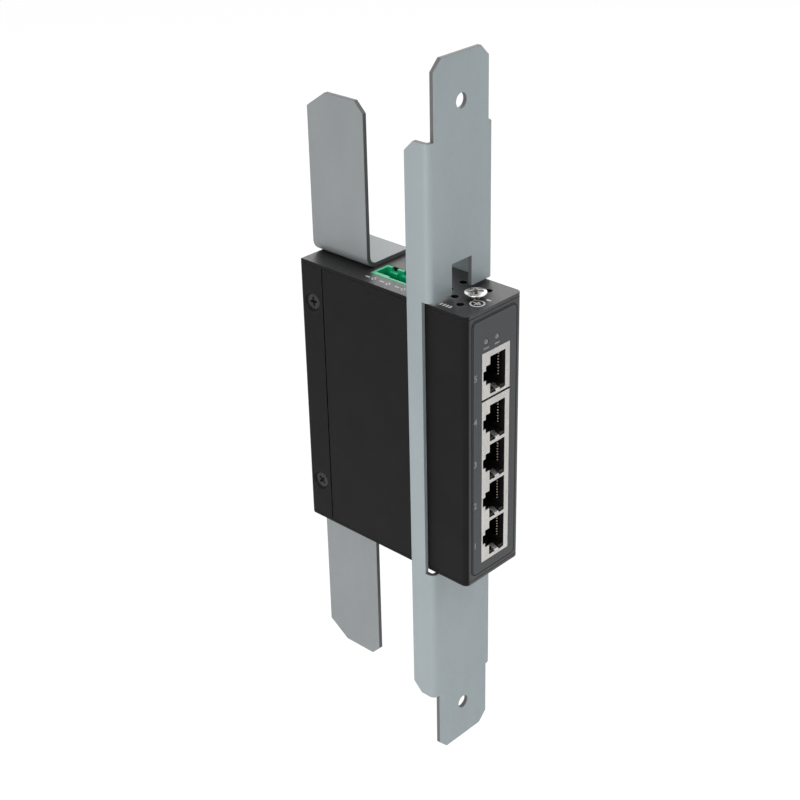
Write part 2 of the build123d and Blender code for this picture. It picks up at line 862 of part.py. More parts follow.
def make_regulator_chip():
    """Supply regulator with its tab, below the switching chip."""
    y0, z0 = chip_corner()
    y1, z1 = y0 + regulator_side, z0 - chip_skirt - part_gap
    z0 = z1 - regulator_side
    part = block(board_face - regulator_height, board_face, y0, y1, z0, z1)
    part = chamfer(part.faces().sort_by(Axis.X)[0].edges(), regulator_height / 8)
    left, inset = board_face - regulator_tab_height, regulator_tab_inset
    return part + block(left, board_face, y1 - inset, y1 + regulator_tab, z0 + inset, z1 - inset)


def solids_of(shape):
    """Separate solids of a shape or of a list of shapes."""
    if isinstance(shape, list):
        return [solid for item in shape for solid in item.solids()]
    return list(shape.solids())


rear_upper_bracket = make_rear_bracket()
uplink = (uplink_bottom, uplink_height, [uplink_centre])
port_bank = (bank_bottom, bank_height, bank_centres)

NODES = {
    "wrap_shell": make_wrap_shell(),
    "spine_shell": make_spine_shell(),
    "front_label": make_front_label(),
    "shell_screws": make_shell_screws(),
    "front_channel_bracket": make_channel(),
    "channel_studs": make_channel_studs(),
    "channel_nuts": make_channel_nuts(),
    "rear_upper_bracket": rear_upper_bracket,
    "rear_lower_bracket": mirror(rear_upper_bracket, Plane.XY),
    "rear_bracket_screws": make_rear_bracket_screws(),
    "earth_screw": make_earth_screw(),
    "earth_nut": make_earth_nut(),
    "uplink_shield": make_shield(*uplink),
    "uplink_housing": make_housing(*uplink),
    "uplink_contacts": make_contacts([uplink_centre]),
    "port_bank_shield": make_shield(*port_bank),
    "port_bank_housing": make_housing(*port_bank),
    "port_bank_contacts": make_contacts(bank_centres),
    "status_lights": make_status_lights(),
    "light_holder": make_light_holder(),
    "terminal_header": make_terminal_header(),
    "terminal_pins": make_terminal_pins(),
    "main_board": make_main_board(),
    "power_board": make_power_board(),
    "board_link_header": make_link_header(),
    "board_standoffs": make_board_standoffs(),
    "board_screws": make_board_screws(),
    "port_magnetics": make_port_magnetics(),
    "switch_chip": make_switch_chip(),
    "clock_crystal": make_clock_crystal(),
    "filter_capacitors": make_filter_capacitors(),
    "power_inductor": make_power_inductor(),
    "supply_fuse": make_supply_fuse(),
    "regulator_chip": make_regulator_chip(),
}

os.makedirs("parts", exist_ok=True)
for name, shape in NODES.items():
    export_step(Compound(children=solids_of(shape)), f"parts/{name}.step")
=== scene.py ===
"""Looks of a slim five-socket network switch with its front channel and rear brackets.

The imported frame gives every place: X to the right, Y to the rear, Z up, in metres. Sheet parts are dressed
from copies of their solids with rounded edges. Small parts are surfaces worked out with numpy.
"""

import logging
import math
from dataclasses import dataclass
from enum import Enum

import bmesh
import bpy
import numpy as np
from mathutils import Matrix, Vector


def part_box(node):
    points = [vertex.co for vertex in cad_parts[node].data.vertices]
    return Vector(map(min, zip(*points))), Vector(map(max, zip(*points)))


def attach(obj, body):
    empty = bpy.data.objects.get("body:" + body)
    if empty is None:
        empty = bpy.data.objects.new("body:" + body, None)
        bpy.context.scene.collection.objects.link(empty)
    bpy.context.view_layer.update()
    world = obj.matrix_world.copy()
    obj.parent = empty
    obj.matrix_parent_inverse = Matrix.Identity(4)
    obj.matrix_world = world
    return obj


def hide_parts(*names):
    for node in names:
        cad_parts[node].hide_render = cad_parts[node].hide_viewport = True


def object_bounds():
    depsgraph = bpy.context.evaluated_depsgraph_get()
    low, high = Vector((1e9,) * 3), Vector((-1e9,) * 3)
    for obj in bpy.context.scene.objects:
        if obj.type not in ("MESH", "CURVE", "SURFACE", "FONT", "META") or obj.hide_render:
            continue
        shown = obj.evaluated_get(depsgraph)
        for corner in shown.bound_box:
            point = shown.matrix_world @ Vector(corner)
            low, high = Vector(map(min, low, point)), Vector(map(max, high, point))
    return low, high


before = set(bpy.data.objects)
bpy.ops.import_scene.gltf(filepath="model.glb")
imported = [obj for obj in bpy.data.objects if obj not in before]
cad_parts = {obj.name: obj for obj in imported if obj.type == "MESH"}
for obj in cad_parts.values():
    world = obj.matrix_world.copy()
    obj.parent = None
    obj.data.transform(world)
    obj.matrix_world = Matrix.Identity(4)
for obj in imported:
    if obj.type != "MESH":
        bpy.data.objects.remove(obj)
FRAME_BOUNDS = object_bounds()

Triple = tuple[float, float, float]
Surface = tuple[np.ndarray, np.ndarray]
Material = bpy.types.Material
NodeSocket = bpy.types.NodeSocket

MM = 0.001
MICRON = 0.000001
TAU = 2 * math.pi
WHITE = (1.0, 1.0, 1.0)
EVEN = (1.0, 1.0, 1.0)
LEFT_TO_RIGHT = (1.0, 0.0, 0.0)
UPWARD = (0.0, 0.0, 1.0)

# Marks on a mesh that its finish reads: rounded edges, which take a painted highlight, places that take
# painted shade, and flats that take a painted sheen.
EDGE_MARK = "edge"
PAINTED_SHADE_MARK = "shade"
PAINTED_SHEEN_MARK = "sheen"

# A direction lies along an axis when its part along that axis is at least this.
ALONG = 0.9

# The span that a noise's values mostly fill, the detail of mottle and grain, and the scale of the patches in
# which the painted highlight lies along edges.
NOISE_SPAN = (0.3, 0.7)
MOTTLE_DETAIL = 3.0
GRAIN_DETAIL = 2.0
HIGHLIGHT_PATCH_SCALE = 260.0

# The share and the two colours among the inputs of a mix node, whose names repeat, and its mixed colour.
MIX_INPUTS = (0, 6, 7)
MIX_RESULT = 2

# How new surfaces are closed and solids' triangles joined: distances in metres, turns in degrees.
SEAM_MERGE = 1e-7
POLE_MERGE = 1e-8
SHARP_TURN = 35.0
SOLID_MERGE = 2e-6
FLAT_TURN = 0.6
ROUND_TURN = 32.0
TINY = 1e-20

log = logging.getLogger("switch")


class Slot(Enum):
    """Material slots of the record, one passed with each new piece."""

    CASE = "case_black"
    LABEL = "label_grey"
    BRACKET = "bracket_grey"
    PLATED = "plated_steel"
    BLACK_SCREW = "black_screw"
    SHIELD = "shield_nickel"
    SOCKET = "socket_black"
    CONTACT = "contact_gold"
    TERMINAL = "terminal_green"
    PIN = "pin_tin"
    LENS = "lens_clear"


class Head(Enum):
    """Underside of a screw's head."""

    COUNTERSUNK = "countersunk"
    FLAT = "flat"


class NodeGraph:
    """The node tree of a material or of the world, with short ways to add nodes to it."""

    def __init__(self, owner: Material | bpy.types.World) -> None:
        """Takes over a node tree.

        Args:
            owner: the material or the world that has it.
        """
        owner.use_nodes = True
        self.owner = owner
        self.tree = owner.node_tree
        self.shader = self.tree.nodes.get("Principled BSDF")

    def add(self, kind: str, **values: object) -> bpy.types.Node:
        """Adds a node.

        Args:
            kind: Blender's type name of the node.
            values: attributes of the node, or values of its inputs where the name is an input's.

        Returns:
            The new node.
        """
        node = self.tree.nodes.new(kind)
        for key, value in values.items():
            label = key.replace("_", " ").title()
            if label in node.inputs:
                node.inputs[label].default_value = value
            else:
                setattr(node, key, value)
        return node

    def put(self, value: object, target: NodeSocket) -> None:
        """Gives an input its value.

        Args:
            value: an output to link, a number, or a colour of three numbers.
            target: the input.
        """
        if isinstance(value, NodeSocket):
            self.tree.links.new(value, target)
        elif target.type == "RGBA":
            target.default_value = (*value, 1.0)
        else:
            target.default_value = value

    def calculate(self, operation: str, *values: NodeSocket | float) -> NodeSocket:
        """Works out a number.

        Args:
            operation: Blender's name of the operation.
            values: what it takes, as outputs or numbers.

        Returns:
            The output that gives the result.
        """
        node = self.add("ShaderNodeMath", operation=operation)
        for value, target in zip(values, node.inputs):
            self.put(value, target)
        return node.outputs[0]

    def ramp(
        self, value: NodeSocket, low: float, high: float, span: tuple[float, float] = (0.0, 1.0)
    ) -> NodeSocket:
        """Maps a span of a value evenly onto a range, and holds it at the range's ends outside the span.

        Args:
            value: the output to map.
            low: the result at the span's start.
            high: the result at the span's end.
            span: the value's start and end.

        Returns:
            The output that gives the result.
        """
        node = self.add("ShaderNodeMapRange", from_min=span[0], from_max=span[1], to_min=low, to_max=high)
        self.put(value, node.inputs["Value"])
        return node.outputs["Result"]

    def mark(self, name: str) -> NodeSocket:
        """A mark of the mesh, from 0 to 1."""
        return self.add("ShaderNodeAttribute", attribute_name=name).outputs["Fac"]

    def place(self, stretch: Triple = EVEN) -> NodeSocket:
        """Object coordinates.

        Args:
            stretch: how they are scaled along each axis.

        Returns:
            The output that gives them.
        """
        mapping = self.add("ShaderNodeMapping", scale=stretch)
        self.put(self.add("ShaderNodeTexCoord").outputs["Object"], mapping.inputs["Vector"])
        return mapping.outputs["Vector"]

    def noise(
        self, scale: float, detail: float, low: float, high: float, stretch: Triple = EVEN
    ) -> tuple[NodeSocket, NodeSocket]:
        """Noise over the object's own coordinates.

        Args:
            scale: how fine it is.
            detail: its finer layers.
            low: the low end of the range that it is spread over.
            high: the range's high end.
            stretch: how its coordinates are scaled along each axis.

        Returns:
            The noise as it is, and spread over the range.
        """
        node = self.add("ShaderNodeTexNoise", scale=scale, detail=detail)
        self.put(self.place(stretch), node.inputs["Vector"])
        return node.outputs["Fac"], self.ramp(node.outputs["Fac"], low, high, NOISE_SPAN)

    def blend(self, share: NodeSocket, first: NodeSocket | Triple, second: Triple) -> NodeSocket:
        """Mixes two colours.

        Args:
            share: how much of the second colour shows.
            first: a colour, or an output that gives one.
            second: a colour.

        Returns:
            The output that gives the mixed colour.
        """
        node = self.add("ShaderNodeMix", data_type="RGBA")
        for value, index in zip((share, first, second), MIX_INPUTS):
            self.put(value, node.inputs[index])
        return node.outputs[MIX_RESULT]

    def grain(
        self, scale: float, rough: tuple[float, float], strength: float, depth: float, stretch: Triple = EVEN
    ) -> None:
        """Gives the shader a fine grain: uneven roughness, and bump from the same noise.

        Args:
            scale: how fine the grain is.
            rough: the roughness range.
            strength: how much of the bump shows.
            depth: the bump's height in metres.
            stretch: how the grain's coordinates are scaled along each axis.
        """
        height, roughness = self.noise(scale, GRAIN_DETAIL, *rough, stretch)
        self.put(roughness, self.shader.inputs["Roughness"])
        bump = self.add("ShaderNodeBump", strength=strength, distance=depth)
        self.put(height, bump.inputs["Height"])
        self.put(bump.outputs["Normal"], self.shader.inputs["Normal"])

    def show_mix(self, share: NodeSocket, first: bpy.types.Node, second: bpy.types.Node, output: str) -> None:
        """Shows a mix of two shaders.

        Args:
            share: how much of the second shader shows.
            first: a shader's node.
            second: the other shader's node.
            output: the name of the tree's output node.
        """
        mix = self.add("ShaderNodeMixShader")
        for value, target in zip((share, first.outputs[0], second.outputs[0]), mix.inputs):
            self.put(value, target)
        self.put(mix.outputs[0], self.tree.nodes[output].inputs["Surface"])


@dataclass(frozen=True)
class Finish:
    """A surface finish: two close tones, a gloss range and a fine grain, with painted highlight, painted
    shade and painted sheen on marked places.

    Attributes:
        name: the material's name.
        dark: the darker tone.
        light: the lighter tone.
        rough: the roughness range.
        metallic: the shader's metallic value.
        specular: the shader's specular level.
        mottle: how fine the two tones are mixed.
        grain: how fine the grain is.
        depth: the grain's height in metres.
        strength: how much of the grain's bump shows.
        stretch: how the noises are scaled along each axis.
        coat: the shader's clear coat.
        edge: the tone of the painted highlight on rounded edges, laid in patches.
        edge_share: the most of that tone that shows.
        shade: the tone of painted shade where the mesh marks it: on sheared edges, in recesses and gaps, and
            along wires deep in their sockets.
        sheen_specular: the specular level of the flats that take a painted sheen.
    """

    name: str
    dark: Triple
    light: Triple
    rough: tuple[float, float]
    metallic: float = 0.0
    specular: float = 0.5
    mottle: float = 120.0
    grain: float = 2500.0
    depth: float = 20 * MICRON
    strength: float = 0.2
    stretch: Triple = EVEN
    coat: float = 0.0
    edge: Triple | None = None
    edge_share: float = 0.6
    shade: Triple | None = None
    sheen_specular: float | None = None

    def build(self) -> Material:
        """Makes the material, over Object coordinates and the marks of the mesh.

        Returns:
            The new material.
        """
        graph = NodeGraph(bpy.data.materials.new(self.name))
        inputs = graph.shader.inputs
        inputs["Metallic"].default_value = self.metallic
        inputs["Specular IOR Level"].default_value = self.specular
        inputs["Coat Weight"].default_value = self.coat
        # Flats marked for a painted sheen take a higher specular level.
        if self.sheen_specular:
            sheen = graph.ramp(graph.mark(PAINTED_SHEEN_MARK), self.specular, self.sheen_specular)
            graph.put(sheen, inputs["Specular IOR Level"])
        _, cloud = graph.noise(self.mottle, MOTTLE_DETAIL, 0.0, 1.0, self.stretch)
        colour = graph.blend(cloud, self.dark, self.light)
        # A painted highlight lies in patches along the rounded edges.
        if self.edge:
            _, patches = graph.noise(HIGHLIGHT_PATCH_SCALE, MOTTLE_DETAIL, 0.0, self.edge_share)
            painted_highlight = graph.calculate("MULTIPLY", graph.mark(EDGE_MARK), patches)
            colour = graph.blend(painted_highlight, colour, self.edge)
        # Marked places take painted shade.
        if self.shade:
            colour = graph.blend(graph.mark(PAINTED_SHADE_MARK), colour, self.shade)
        graph.put(colour, inputs["Base Color"])
        graph.grain(self.grain, self.rough, self.strength, self.depth, self.stretch)
        return graph.owner


@dataclass(frozen=True)
class LabelFinish:
    """Overlay film with a thin dark line just inside its edge."""

    half_width: float
    half_height: float
    corner: float
    line_inset: float
    line_width: float
    film: Triple = (0.041, 0.0445, 0.048)
    line: Triple = (0.008, 0.009, 0.01)
    film_specular: float = 0.4
    line_specular: float = 0.1
    rough: tuple[float, float] = (0.42, 0.55)
    grain: float = 3200.0
    depth: float = 20 * MICRON
    strength: float = 0.15

    def build(self) -> Material:
        """Makes the film.

        The line lies where the distance to a rounded rectangle is near the inset. That distance is the length
        of the positive part of (|x| - a, |z| - b), less the corner's radius, plus the larger of the two where
        both are negative.

        Returns:
            The film's material.
        """
        graph = NodeGraph(bpy.data.materials.new("label_film"))
        inputs = graph.shader.inputs
        graph.grain(self.grain, self.rough, self.strength, self.depth)
        split = graph.add("ShaderNodeSeparateXYZ")
        graph.put(graph.place(), split.inputs[0])
        sides = []
        for axis, half in (("X", self.half_width), ("Z", self.half_height)):
            size = graph.calculate("ABSOLUTE", split.outputs[axis])
            sides.append(graph.calculate("SUBTRACT", size, half - self.corner))
        outside = [graph.calculate("MAXIMUM", side, 0.0) for side in sides]
        squares = [graph.calculate("MULTIPLY", side, side) for side in outside]
        length = graph.calculate("SQRT", graph.calculate("ADD", *squares))
        inside = graph.calculate("MINIMUM", graph.calculate("MAXIMUM", *sides), 0.0)
        reach = self.corner - self.line_inset
        distance = graph.calculate("SUBTRACT", graph.calculate("ADD", length, inside), reach)
        near = graph.calculate("LESS_THAN", graph.calculate("ABSOLUTE", distance), self.line_width / 2)
        graph.put(graph.blend(near, self.film, self.line), inputs["Base Color"])
        sheen = graph.ramp(near, self.film_specular, self.line_specular)
        graph.put(sheen, inputs["Specular IOR Level"])
        return graph.owner


# The coat takes a painted sheen on its front and top, a painted highlight along its edges, and painted shade
# in the gaps before the ears.
POWDER = Finish(
    "black_powder_coat", (0.0102, 0.0097, 0.0102), (0.0122, 0.0115, 0.0121), (0.34, 0.48),
    specular=0.06, sheen_specular=0.68, mottle=90.0, grain=2400.0, depth=30 * MICRON, strength=0.3,
    edge=(0.05, 0.052, 0.056), shade=(0.001, 0.001, 0.001),
)
# The channel's coat takes a painted highlight along its edges and painted shade on its sheared edges.
CHANNEL_COAT = Finish(
    "channel_grey_coat", (0.29, 0.333, 0.349), (0.322, 0.366, 0.381), (0.42, 0.56),
    metallic=0.3, specular=0.4, mottle=60.0, grain=1800.0, depth=10 * MICRON, strength=0.12,
    stretch=(1.0, 1.0, 0.35), edge=(0.4, 0.45, 0.465), edge_share=0.25, shade=(0.13, 0.13, 0.128),
)
# The rear brackets' coat is the channel's coat made darker as painted shade, with the same painted highlight
# and shade on its edges.
REAR_PAINTED_SHADE_COAT = Finish(
    "rear_grey_coat_painted_shade", (0.235, 0.252, 0.258), (0.262, 0.28, 0.286), (0.42, 0.56),
    metallic=0.3, specular=0.4, mottle=60.0, grain=1800.0, depth=10 * MICRON, strength=0.12,
    stretch=(1.0, 1.0, 0.35), edge=(0.38, 0.4, 0.41), edge_share=0.25, shade=(0.1, 0.1, 0.1),
)
NICKEL = Finish(
    "shield_nickel", (0.51, 0.495, 0.475), (0.6, 0.585, 0.56), (0.24, 0.38),
    metallic=1.0, mottle=300.0, grain=2600.0, depth=10 * MICRON, strength=0.15, stretch=(1.0, 1.0, 0.3),
)
# The earth screw takes painted shade in its recess and down its shank.
ZINC = Finish(
    "zinc_plate", (0.6, 0.58, 0.56), (0.76, 0.74, 0.72), (0.2, 0.32),
    metallic=1.0, mottle=500.0, grain=3000.0, depth=10 * MICRON, strength=0.1, shade=(0.13, 0.095, 0.08),
)
BLACK_OXIDE = Finish(
    "black_oxide", (0.010, 0.010, 0.011), (0.022, 0.022, 0.023), (0.28, 0.42),
    specular=0.3, mottle=700.0, grain=3000.0, depth=10 * MICRON, strength=0.15,
)
MOULDED_BLACK = Finish(
    "moulded_black", (0.004, 0.004, 0.004), (0.008, 0.008, 0.008), (0.4, 0.55),
    specular=0.3, mottle=300.0, grain=3500.0, depth=10 * MICRON,
)
# The wires are gold only near their front; beyond it they take painted shade.
GOLD = Finish(
    "gold_flash", (0.34, 0.27, 0.23), (0.42, 0.34, 0.295), (0.25, 0.38),
    metallic=1.0, mottle=900.0, grain=4000.0, depth=5 * MICRON, strength=0.1, shade=(0.02, 0.016, 0.013),
)
# The header takes a painted highlight along its rounded edges.
GREEN = Finish(
    "terminal_green", (0.001, 0.36, 0.15), (0.006, 0.42, 0.19), (0.3, 0.42),
    mottle=250.0, grain=3000.0, depth=10 * MICRON, strength=0.15, edge=(0.12, 0.62, 0.38),
)
TIN = Finish(
    "tin_plate", (0.62, 0.61, 0.58), (0.74, 0.73, 0.71), (0.25, 0.38),
    metallic=1.0, mottle=600.0, grain=3000.0, depth=5 * MICRON, strength=0.1,
)
LENS = Finish(
    "milky_lens", (0.1, 0.117, 0.113), (0.136, 0.155, 0.15), (0.16, 0.24),
    mottle=400.0, grain=4000.0, depth=5 * MICRON, strength=0.05, coat=0.4,
)
RESIST = Finish(
    "solder_resist", (0.006, 0.075, 0.03), (0.012, 0.11, 0.045), (0.25, 0.4),
    mottle=350.0, grain=2200.0, strength=0.25,
)
EPOXY = Finish(
    "moulded_epoxy", (0.010, 0.010, 0.010), (0.018, 0.018, 0.018), (0.5, 0.65),
    specular=0.35, mottle=500.0, grain=3500.0, depth=10 * MICRON, strength=0.25,
)
BRIGHT_CAN = Finish(
    "bright_can", (0.6, 0.6, 0.6), (0.72, 0.72, 0.72), (0.22, 0.34),
    metallic=1.0, mottle=300.0, depth=5 * MICRON, strength=0.1,
)
INK = Finish(
    "white_ink", (0.42, 0.44, 0.45), (0.56, 0.58, 0.59), (0.5, 0.62),
    specular=0.3, mottle=1500.0, grain=4000.0, depth=5 * MICRON, strength=0.1,
)
GREY_INK = Finish(
    "grey_ink", (0.17, 0.185, 0.19), (0.25, 0.265, 0.27), (0.5, 0.62),
    specular=0.3, mottle=1500.0, grain=4000.0, depth=5 * MICRON, strength=0.1,
)


def added(name: str, data: bpy.types.ID) -> bpy.types.Object:
    """Links a new object at the origin into the scene.

    Args:
        name: the object's name.
        data: its mesh, light, curve or camera.

    Returns:
        The new object.
    """
    piece = bpy.data.objects.new(name, data)
    bpy.context.collection.objects.link(piece)
    return piece


def grid_quads(rows: int, columns: int) -> np.ndarray:
    """Corner numbers of the quads of a grid of points whose last column joins the first.

    Args:
        rows: points along the first parameter.
        columns: points round the second parameter.

    Returns:
        An array of four point numbers for each quad.
    """
    row, column = np.meshgrid(np.arange(rows - 1), np.arange(columns), indexing="ij")
    after = (column + 1) % columns
    start, end = row * columns, (row + 1) * columns
    return np.stack([start + column, start + after, end + after, end + column], axis=-1).reshape(-1, 4)


def joined(name: str, parts: list[Surface]) -> bpy.types.Object:
    """One piece from several closed surfaces, with seams and poles closed and faces turned outwards.

    Args:
        name: the piece's name.
        parts: points and quads of each surface.

    Returns:
        The new object, at the origin, smooth but for its sharp turns.
    """
    clouds = [points.reshape(-1, 3) for points, _ in parts]
    starts = np.cumsum([0] + [len(cloud) for cloud in clouds[:-1]])
    places = np.ascontiguousarray(np.concatenate(clouds), dtype=np.float32)
    quads = np.concatenate([quads + start for (_, quads), start in zip(parts, starts)])
    mesh = bpy.data.meshes.new(name)
    mesh.vertices.add(len(places))
    mesh.vertices.foreach_set("co", places.ravel())
    mesh.loops.add(quads.size)
    mesh.loops.foreach_set("vertex_index", quads.ravel().astype(np.int32))
    mesh.polygons.add(len(quads))
    mesh.polygons.foreach_set("loop_start", np.arange(0, quads.size, 4, dtype=np.int32))
    mesh.update(calc_edges=True)
    mesh.validate()
    work = bmesh.new()
    work.from_mesh(mesh)
    bmesh.ops.remove_doubles(work, verts=work.verts, dist=SEAM_MERGE)
    bmesh.ops.dissolve_degenerate(work, edges=work.edges, dist=POLE_MERGE)
    bmesh.ops.recalc_face_normals(work, faces=work.faces)
    work.to_mesh(mesh)
    work.free()
    mesh.shade_smooth()
    mesh.set_sharp_from_angle(angle=math.radians(SHARP_TURN))
    return added(name, mesh)


def dress(piece: bpy.types.Object, finish: Material, slot: Slot, *nodes: str) -> None:
    """Gives a new piece its finish and its body, and reports it.

    Args:
        piece: the piece.
        finish: its material.
        slot: its slot in the record; not used.
        nodes: the nodes that it stands for.
    """
    piece.data.materials.clear()
    piece.data.materials.append(finish)
    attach(piece, "root")
    if nodes:
        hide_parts(*nodes)
    log.info("%s: %d faces", piece.name, len(piece.data.polygons))


def softened(node: str, name: str, width: float, steps: int = 2) -> bpy.types.Object:
    """A copy of a solid's mesh with its triangles joined into flats and its edges rounded.

    Args:
        node: the solid to copy.
        name: the new piece's name.
        width: how far the rounding reaches from each edge, in metres.
        steps: facets across the rounding.

    Returns:
        The new object, smooth over its roundings and flat on its flats, with its edges marked.
    """
    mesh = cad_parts[node].data.copy()
    mesh.name = name
    work = bmesh.new()
    work.from_mesh(mesh)
    bmesh.ops.remove_doubles(work, verts=work.verts, dist=SOLID_MERGE)
    bmesh.ops.dissolve_limit(work, angle_limit=math.radians(FLAT_TURN), verts=work.verts, edges=work.edges)
    turn = math.radians(ROUND_TURN)
    edges = [edge for edge in work.edges if edge.is_manifold and edge.calc_face_angle(0.0) > turn]
    bmesh.ops.bevel(
        work, geom=edges, offset=width, offset_type="OFFSET", segments=steps, profile=0.5, affect="EDGES",
        clamp_overlap=False, material=1,
    )
    work.to_mesh(mesh)
    work.free()
    mark_edges(mesh)
    mesh.shade_smooth()
    mesh.normals_split_custom_set_from_vertices(weighted_normals(mesh))
    return added(name, mesh)


def values_of(items: bpy.types.bpy_prop_collection, name: str, kind: type = float) -> np.ndarray:
    """One number of every item of a mesh.

    Args:
        items: the vertices, corners or faces.
        name: the number's name.
        kind: the array's type of number.

    Returns:
        An array of the numbers.
    """
    values = np.empty(len(items), dtype=kind)
    items.foreach_get(name, values)
    return values


def face_frames(mesh: bpy.types.Mesh) -> tuple[np.ndarray, np.ndarray]:
    """Reads where each face is and where it looks.

    Args:
        mesh: the mesh.

    Returns:
        The middles and the normals of the faces, one row each.
    """
    rows = [np.empty(3 * len(mesh.polygons)) for _ in range(2)]
    for name, row in zip(("center", "normal"), rows):
        mesh.polygons.foreach_get(name, row)
    return rows[0].reshape(-1, 3), rows[1].reshape(-1, 3)


def vertex_sums(mesh: bpy.types.Mesh, values: np.ndarray) -> np.ndarray:
    """Adds each face's value to every vertex that the face touches.

    Args:
        mesh: the mesh.
        values: a number or a row for each face.

    Returns:
        A number or a row for each vertex.
    """
    corners = values_of(mesh.polygons, "loop_total", np.int32)
    sums = np.zeros((len(mesh.vertices), *values.shape[1:]))
    np.add.at(sums, values_of(mesh.loops, "vertex_index", np.int32), np.repeat(values, corners, axis=0))
    return sums


def write_mark(mesh: bpy.types.Mesh, name: str, chosen: np.ndarray) -> None:
    """Stores a mark of 1 on the chosen vertices and 0 on the others."""
    mark = mesh.attributes.new(name, "FLOAT", "POINT")
    mark.data.foreach_set("value", chosen.astype(np.float32))


def mark_edges(mesh: bpy.types.Mesh) -> None:
    """Marks the vertices that touch no flat: the bevel gave its faces the second material number.

    Args:
        mesh: the mesh, whose faces then all take the first material.
    """
    number = values_of(mesh.polygons, "material_index", np.int32)
    write_mark(mesh, EDGE_MARK, vertex_sums(mesh, (number == 0).astype(float)) == 0)
    mesh.polygons.foreach_set("material_index", np.zeros_like(number))


def mark_faces(mesh: bpy.types.Mesh, name: str, chosen: np.ndarray) -> None:
    """Marks the vertices whose faces are chosen over more than half of their area.

    Args:
        mesh: the mesh.
        name: the mark's name.
        chosen: whether each face is chosen.
    """
    area = values_of(mesh.polygons, "area")
    write_mark(mesh, name, vertex_sums(mesh, area * chosen) > vertex_sums(mesh, area) / 2)


def weighted_normals(mesh: bpy.types.Mesh) -> np.ndarray:
    """A normal for each vertex: the sum of its faces' normals times their areas, made one long.

    Args:
        mesh: the mesh.

    Returns:
        The normals, one row each.
    """
    area = values_of(mesh.polygons, "area")
    total = vertex_sums(mesh, face_frames(mesh)[1] * area[:, None])
    return total / np.maximum(np.linalg.norm(total, axis=1, keepdims=True), TINY)


def basis(axis: Triple) -> np.ndarray:
    """A frame of three unit columns that are square to each other.

    Args:
        axis: the third column.

    Returns:
        The frame, one direction in each column.
    """
    third = np.array(axis, dtype=float)
    helper = np.array([0.0, 0.0, 1.0]) if abs(third[2]) < ALONG else np.array([0.0, 1.0, 0.0])
    side = np.cross(helper, third)
    side /= np.linalg.norm(side)
    return np.stack([side, np.cross(third, side), third], axis=1)


def rounded_route(corners: np.ndarray, radius: float, steps: int = 6) -> np.ndarray:
    """A path of straight runs joined by arcs.

    Each arc leaves its run at radius / tan(half the inner angle) from the corner, and its points turn evenly
    about the arc's centre.

    Args:
        corners: the route's corners, one row each.
        radius: the arcs' radius.
        steps: points on each arc.

    Returns:
        The path's points.
    """
    path = [corners[:1]]
    share = np.linspace(0.0, 1.0, steps)[:, None]
    for before, corner, after in zip(corners[:-2], corners[1:-1], corners[2:]):
        back = (before - corner) / np.linalg.norm(before - corner)
        ahead = (after - corner) / np.linalg.norm(after - corner)
        half = math.acos(float(np.clip(back @ ahead, -1.0, 1.0))) / 2
        middle = (back + ahead) / np.linalg.norm(back + ahead)
        centre = corner + middle * radius / math.sin(half)
        start = corner + back * radius / math.tan(half) - centre
        end = corner + ahead * radius / math.tan(half) - centre
        turn = math.pi - 2 * half
        arc = (np.sin((1 - share) * turn) * start + np.sin(share * turn) * end) / math.sin(turn)
        path.append(centre + arc)
    path.append(corners[-1:])
    return np.concatenate(path)


def carried_bar(
    path: np.ndarray, across: Triple, width: float, thickness: float, sides: int = 12, taper: float = 1.0,
    squareness: float = 0.35,
) -> Surface:
    """A bar whose rounded rectangle is carried along a path that lies square to one direction.

    The section is a squared circle: the cosine and the sine of the angle, each raised to a small power with
    its sign kept, times half of each size. The first and last sections shrink to a point, which closes the
    ends.

    Args:
        path: the path's points.
        across: the direction of the bar's width.
        width: the bar's size along it.
        thickness: the bar's other size.
        sides: points round the section.
        taper: the share of its size that the last section keeps.
        squareness: the power, which is 1 for a round section and 0 for a square one.

    Returns:
        Points and quads.
    """
    tangent = np.gradient(path, axis=0)
    tangent /= np.linalg.norm(tangent, axis=1, keepdims=True)
    span = np.array(across, dtype=float)
    normal = np.cross(tangent, span)
    angle = (np.arange(sides) + 0.5) / sides * TAU
    wide, thick = (
        np.sign(wave) * np.abs(wave) ** squareness * reach / 2
        for wave, reach in ((np.cos(angle), width), (np.sin(angle), thickness))
    )
    size = np.ones(len(path))
    size[-1] = taper
    section = wide[None, :, None] * span + thick[None, :, None] * normal[:, None, :]
    rings = path[:, None, :] + section * size[:, None, None]
    first, last = (np.broadcast_to(end, (1, sides, 3)) for end in (path[0], path[-1]))
    return np.concatenate([first, rings, last]), grid_quads(len(path) + 2, sides)


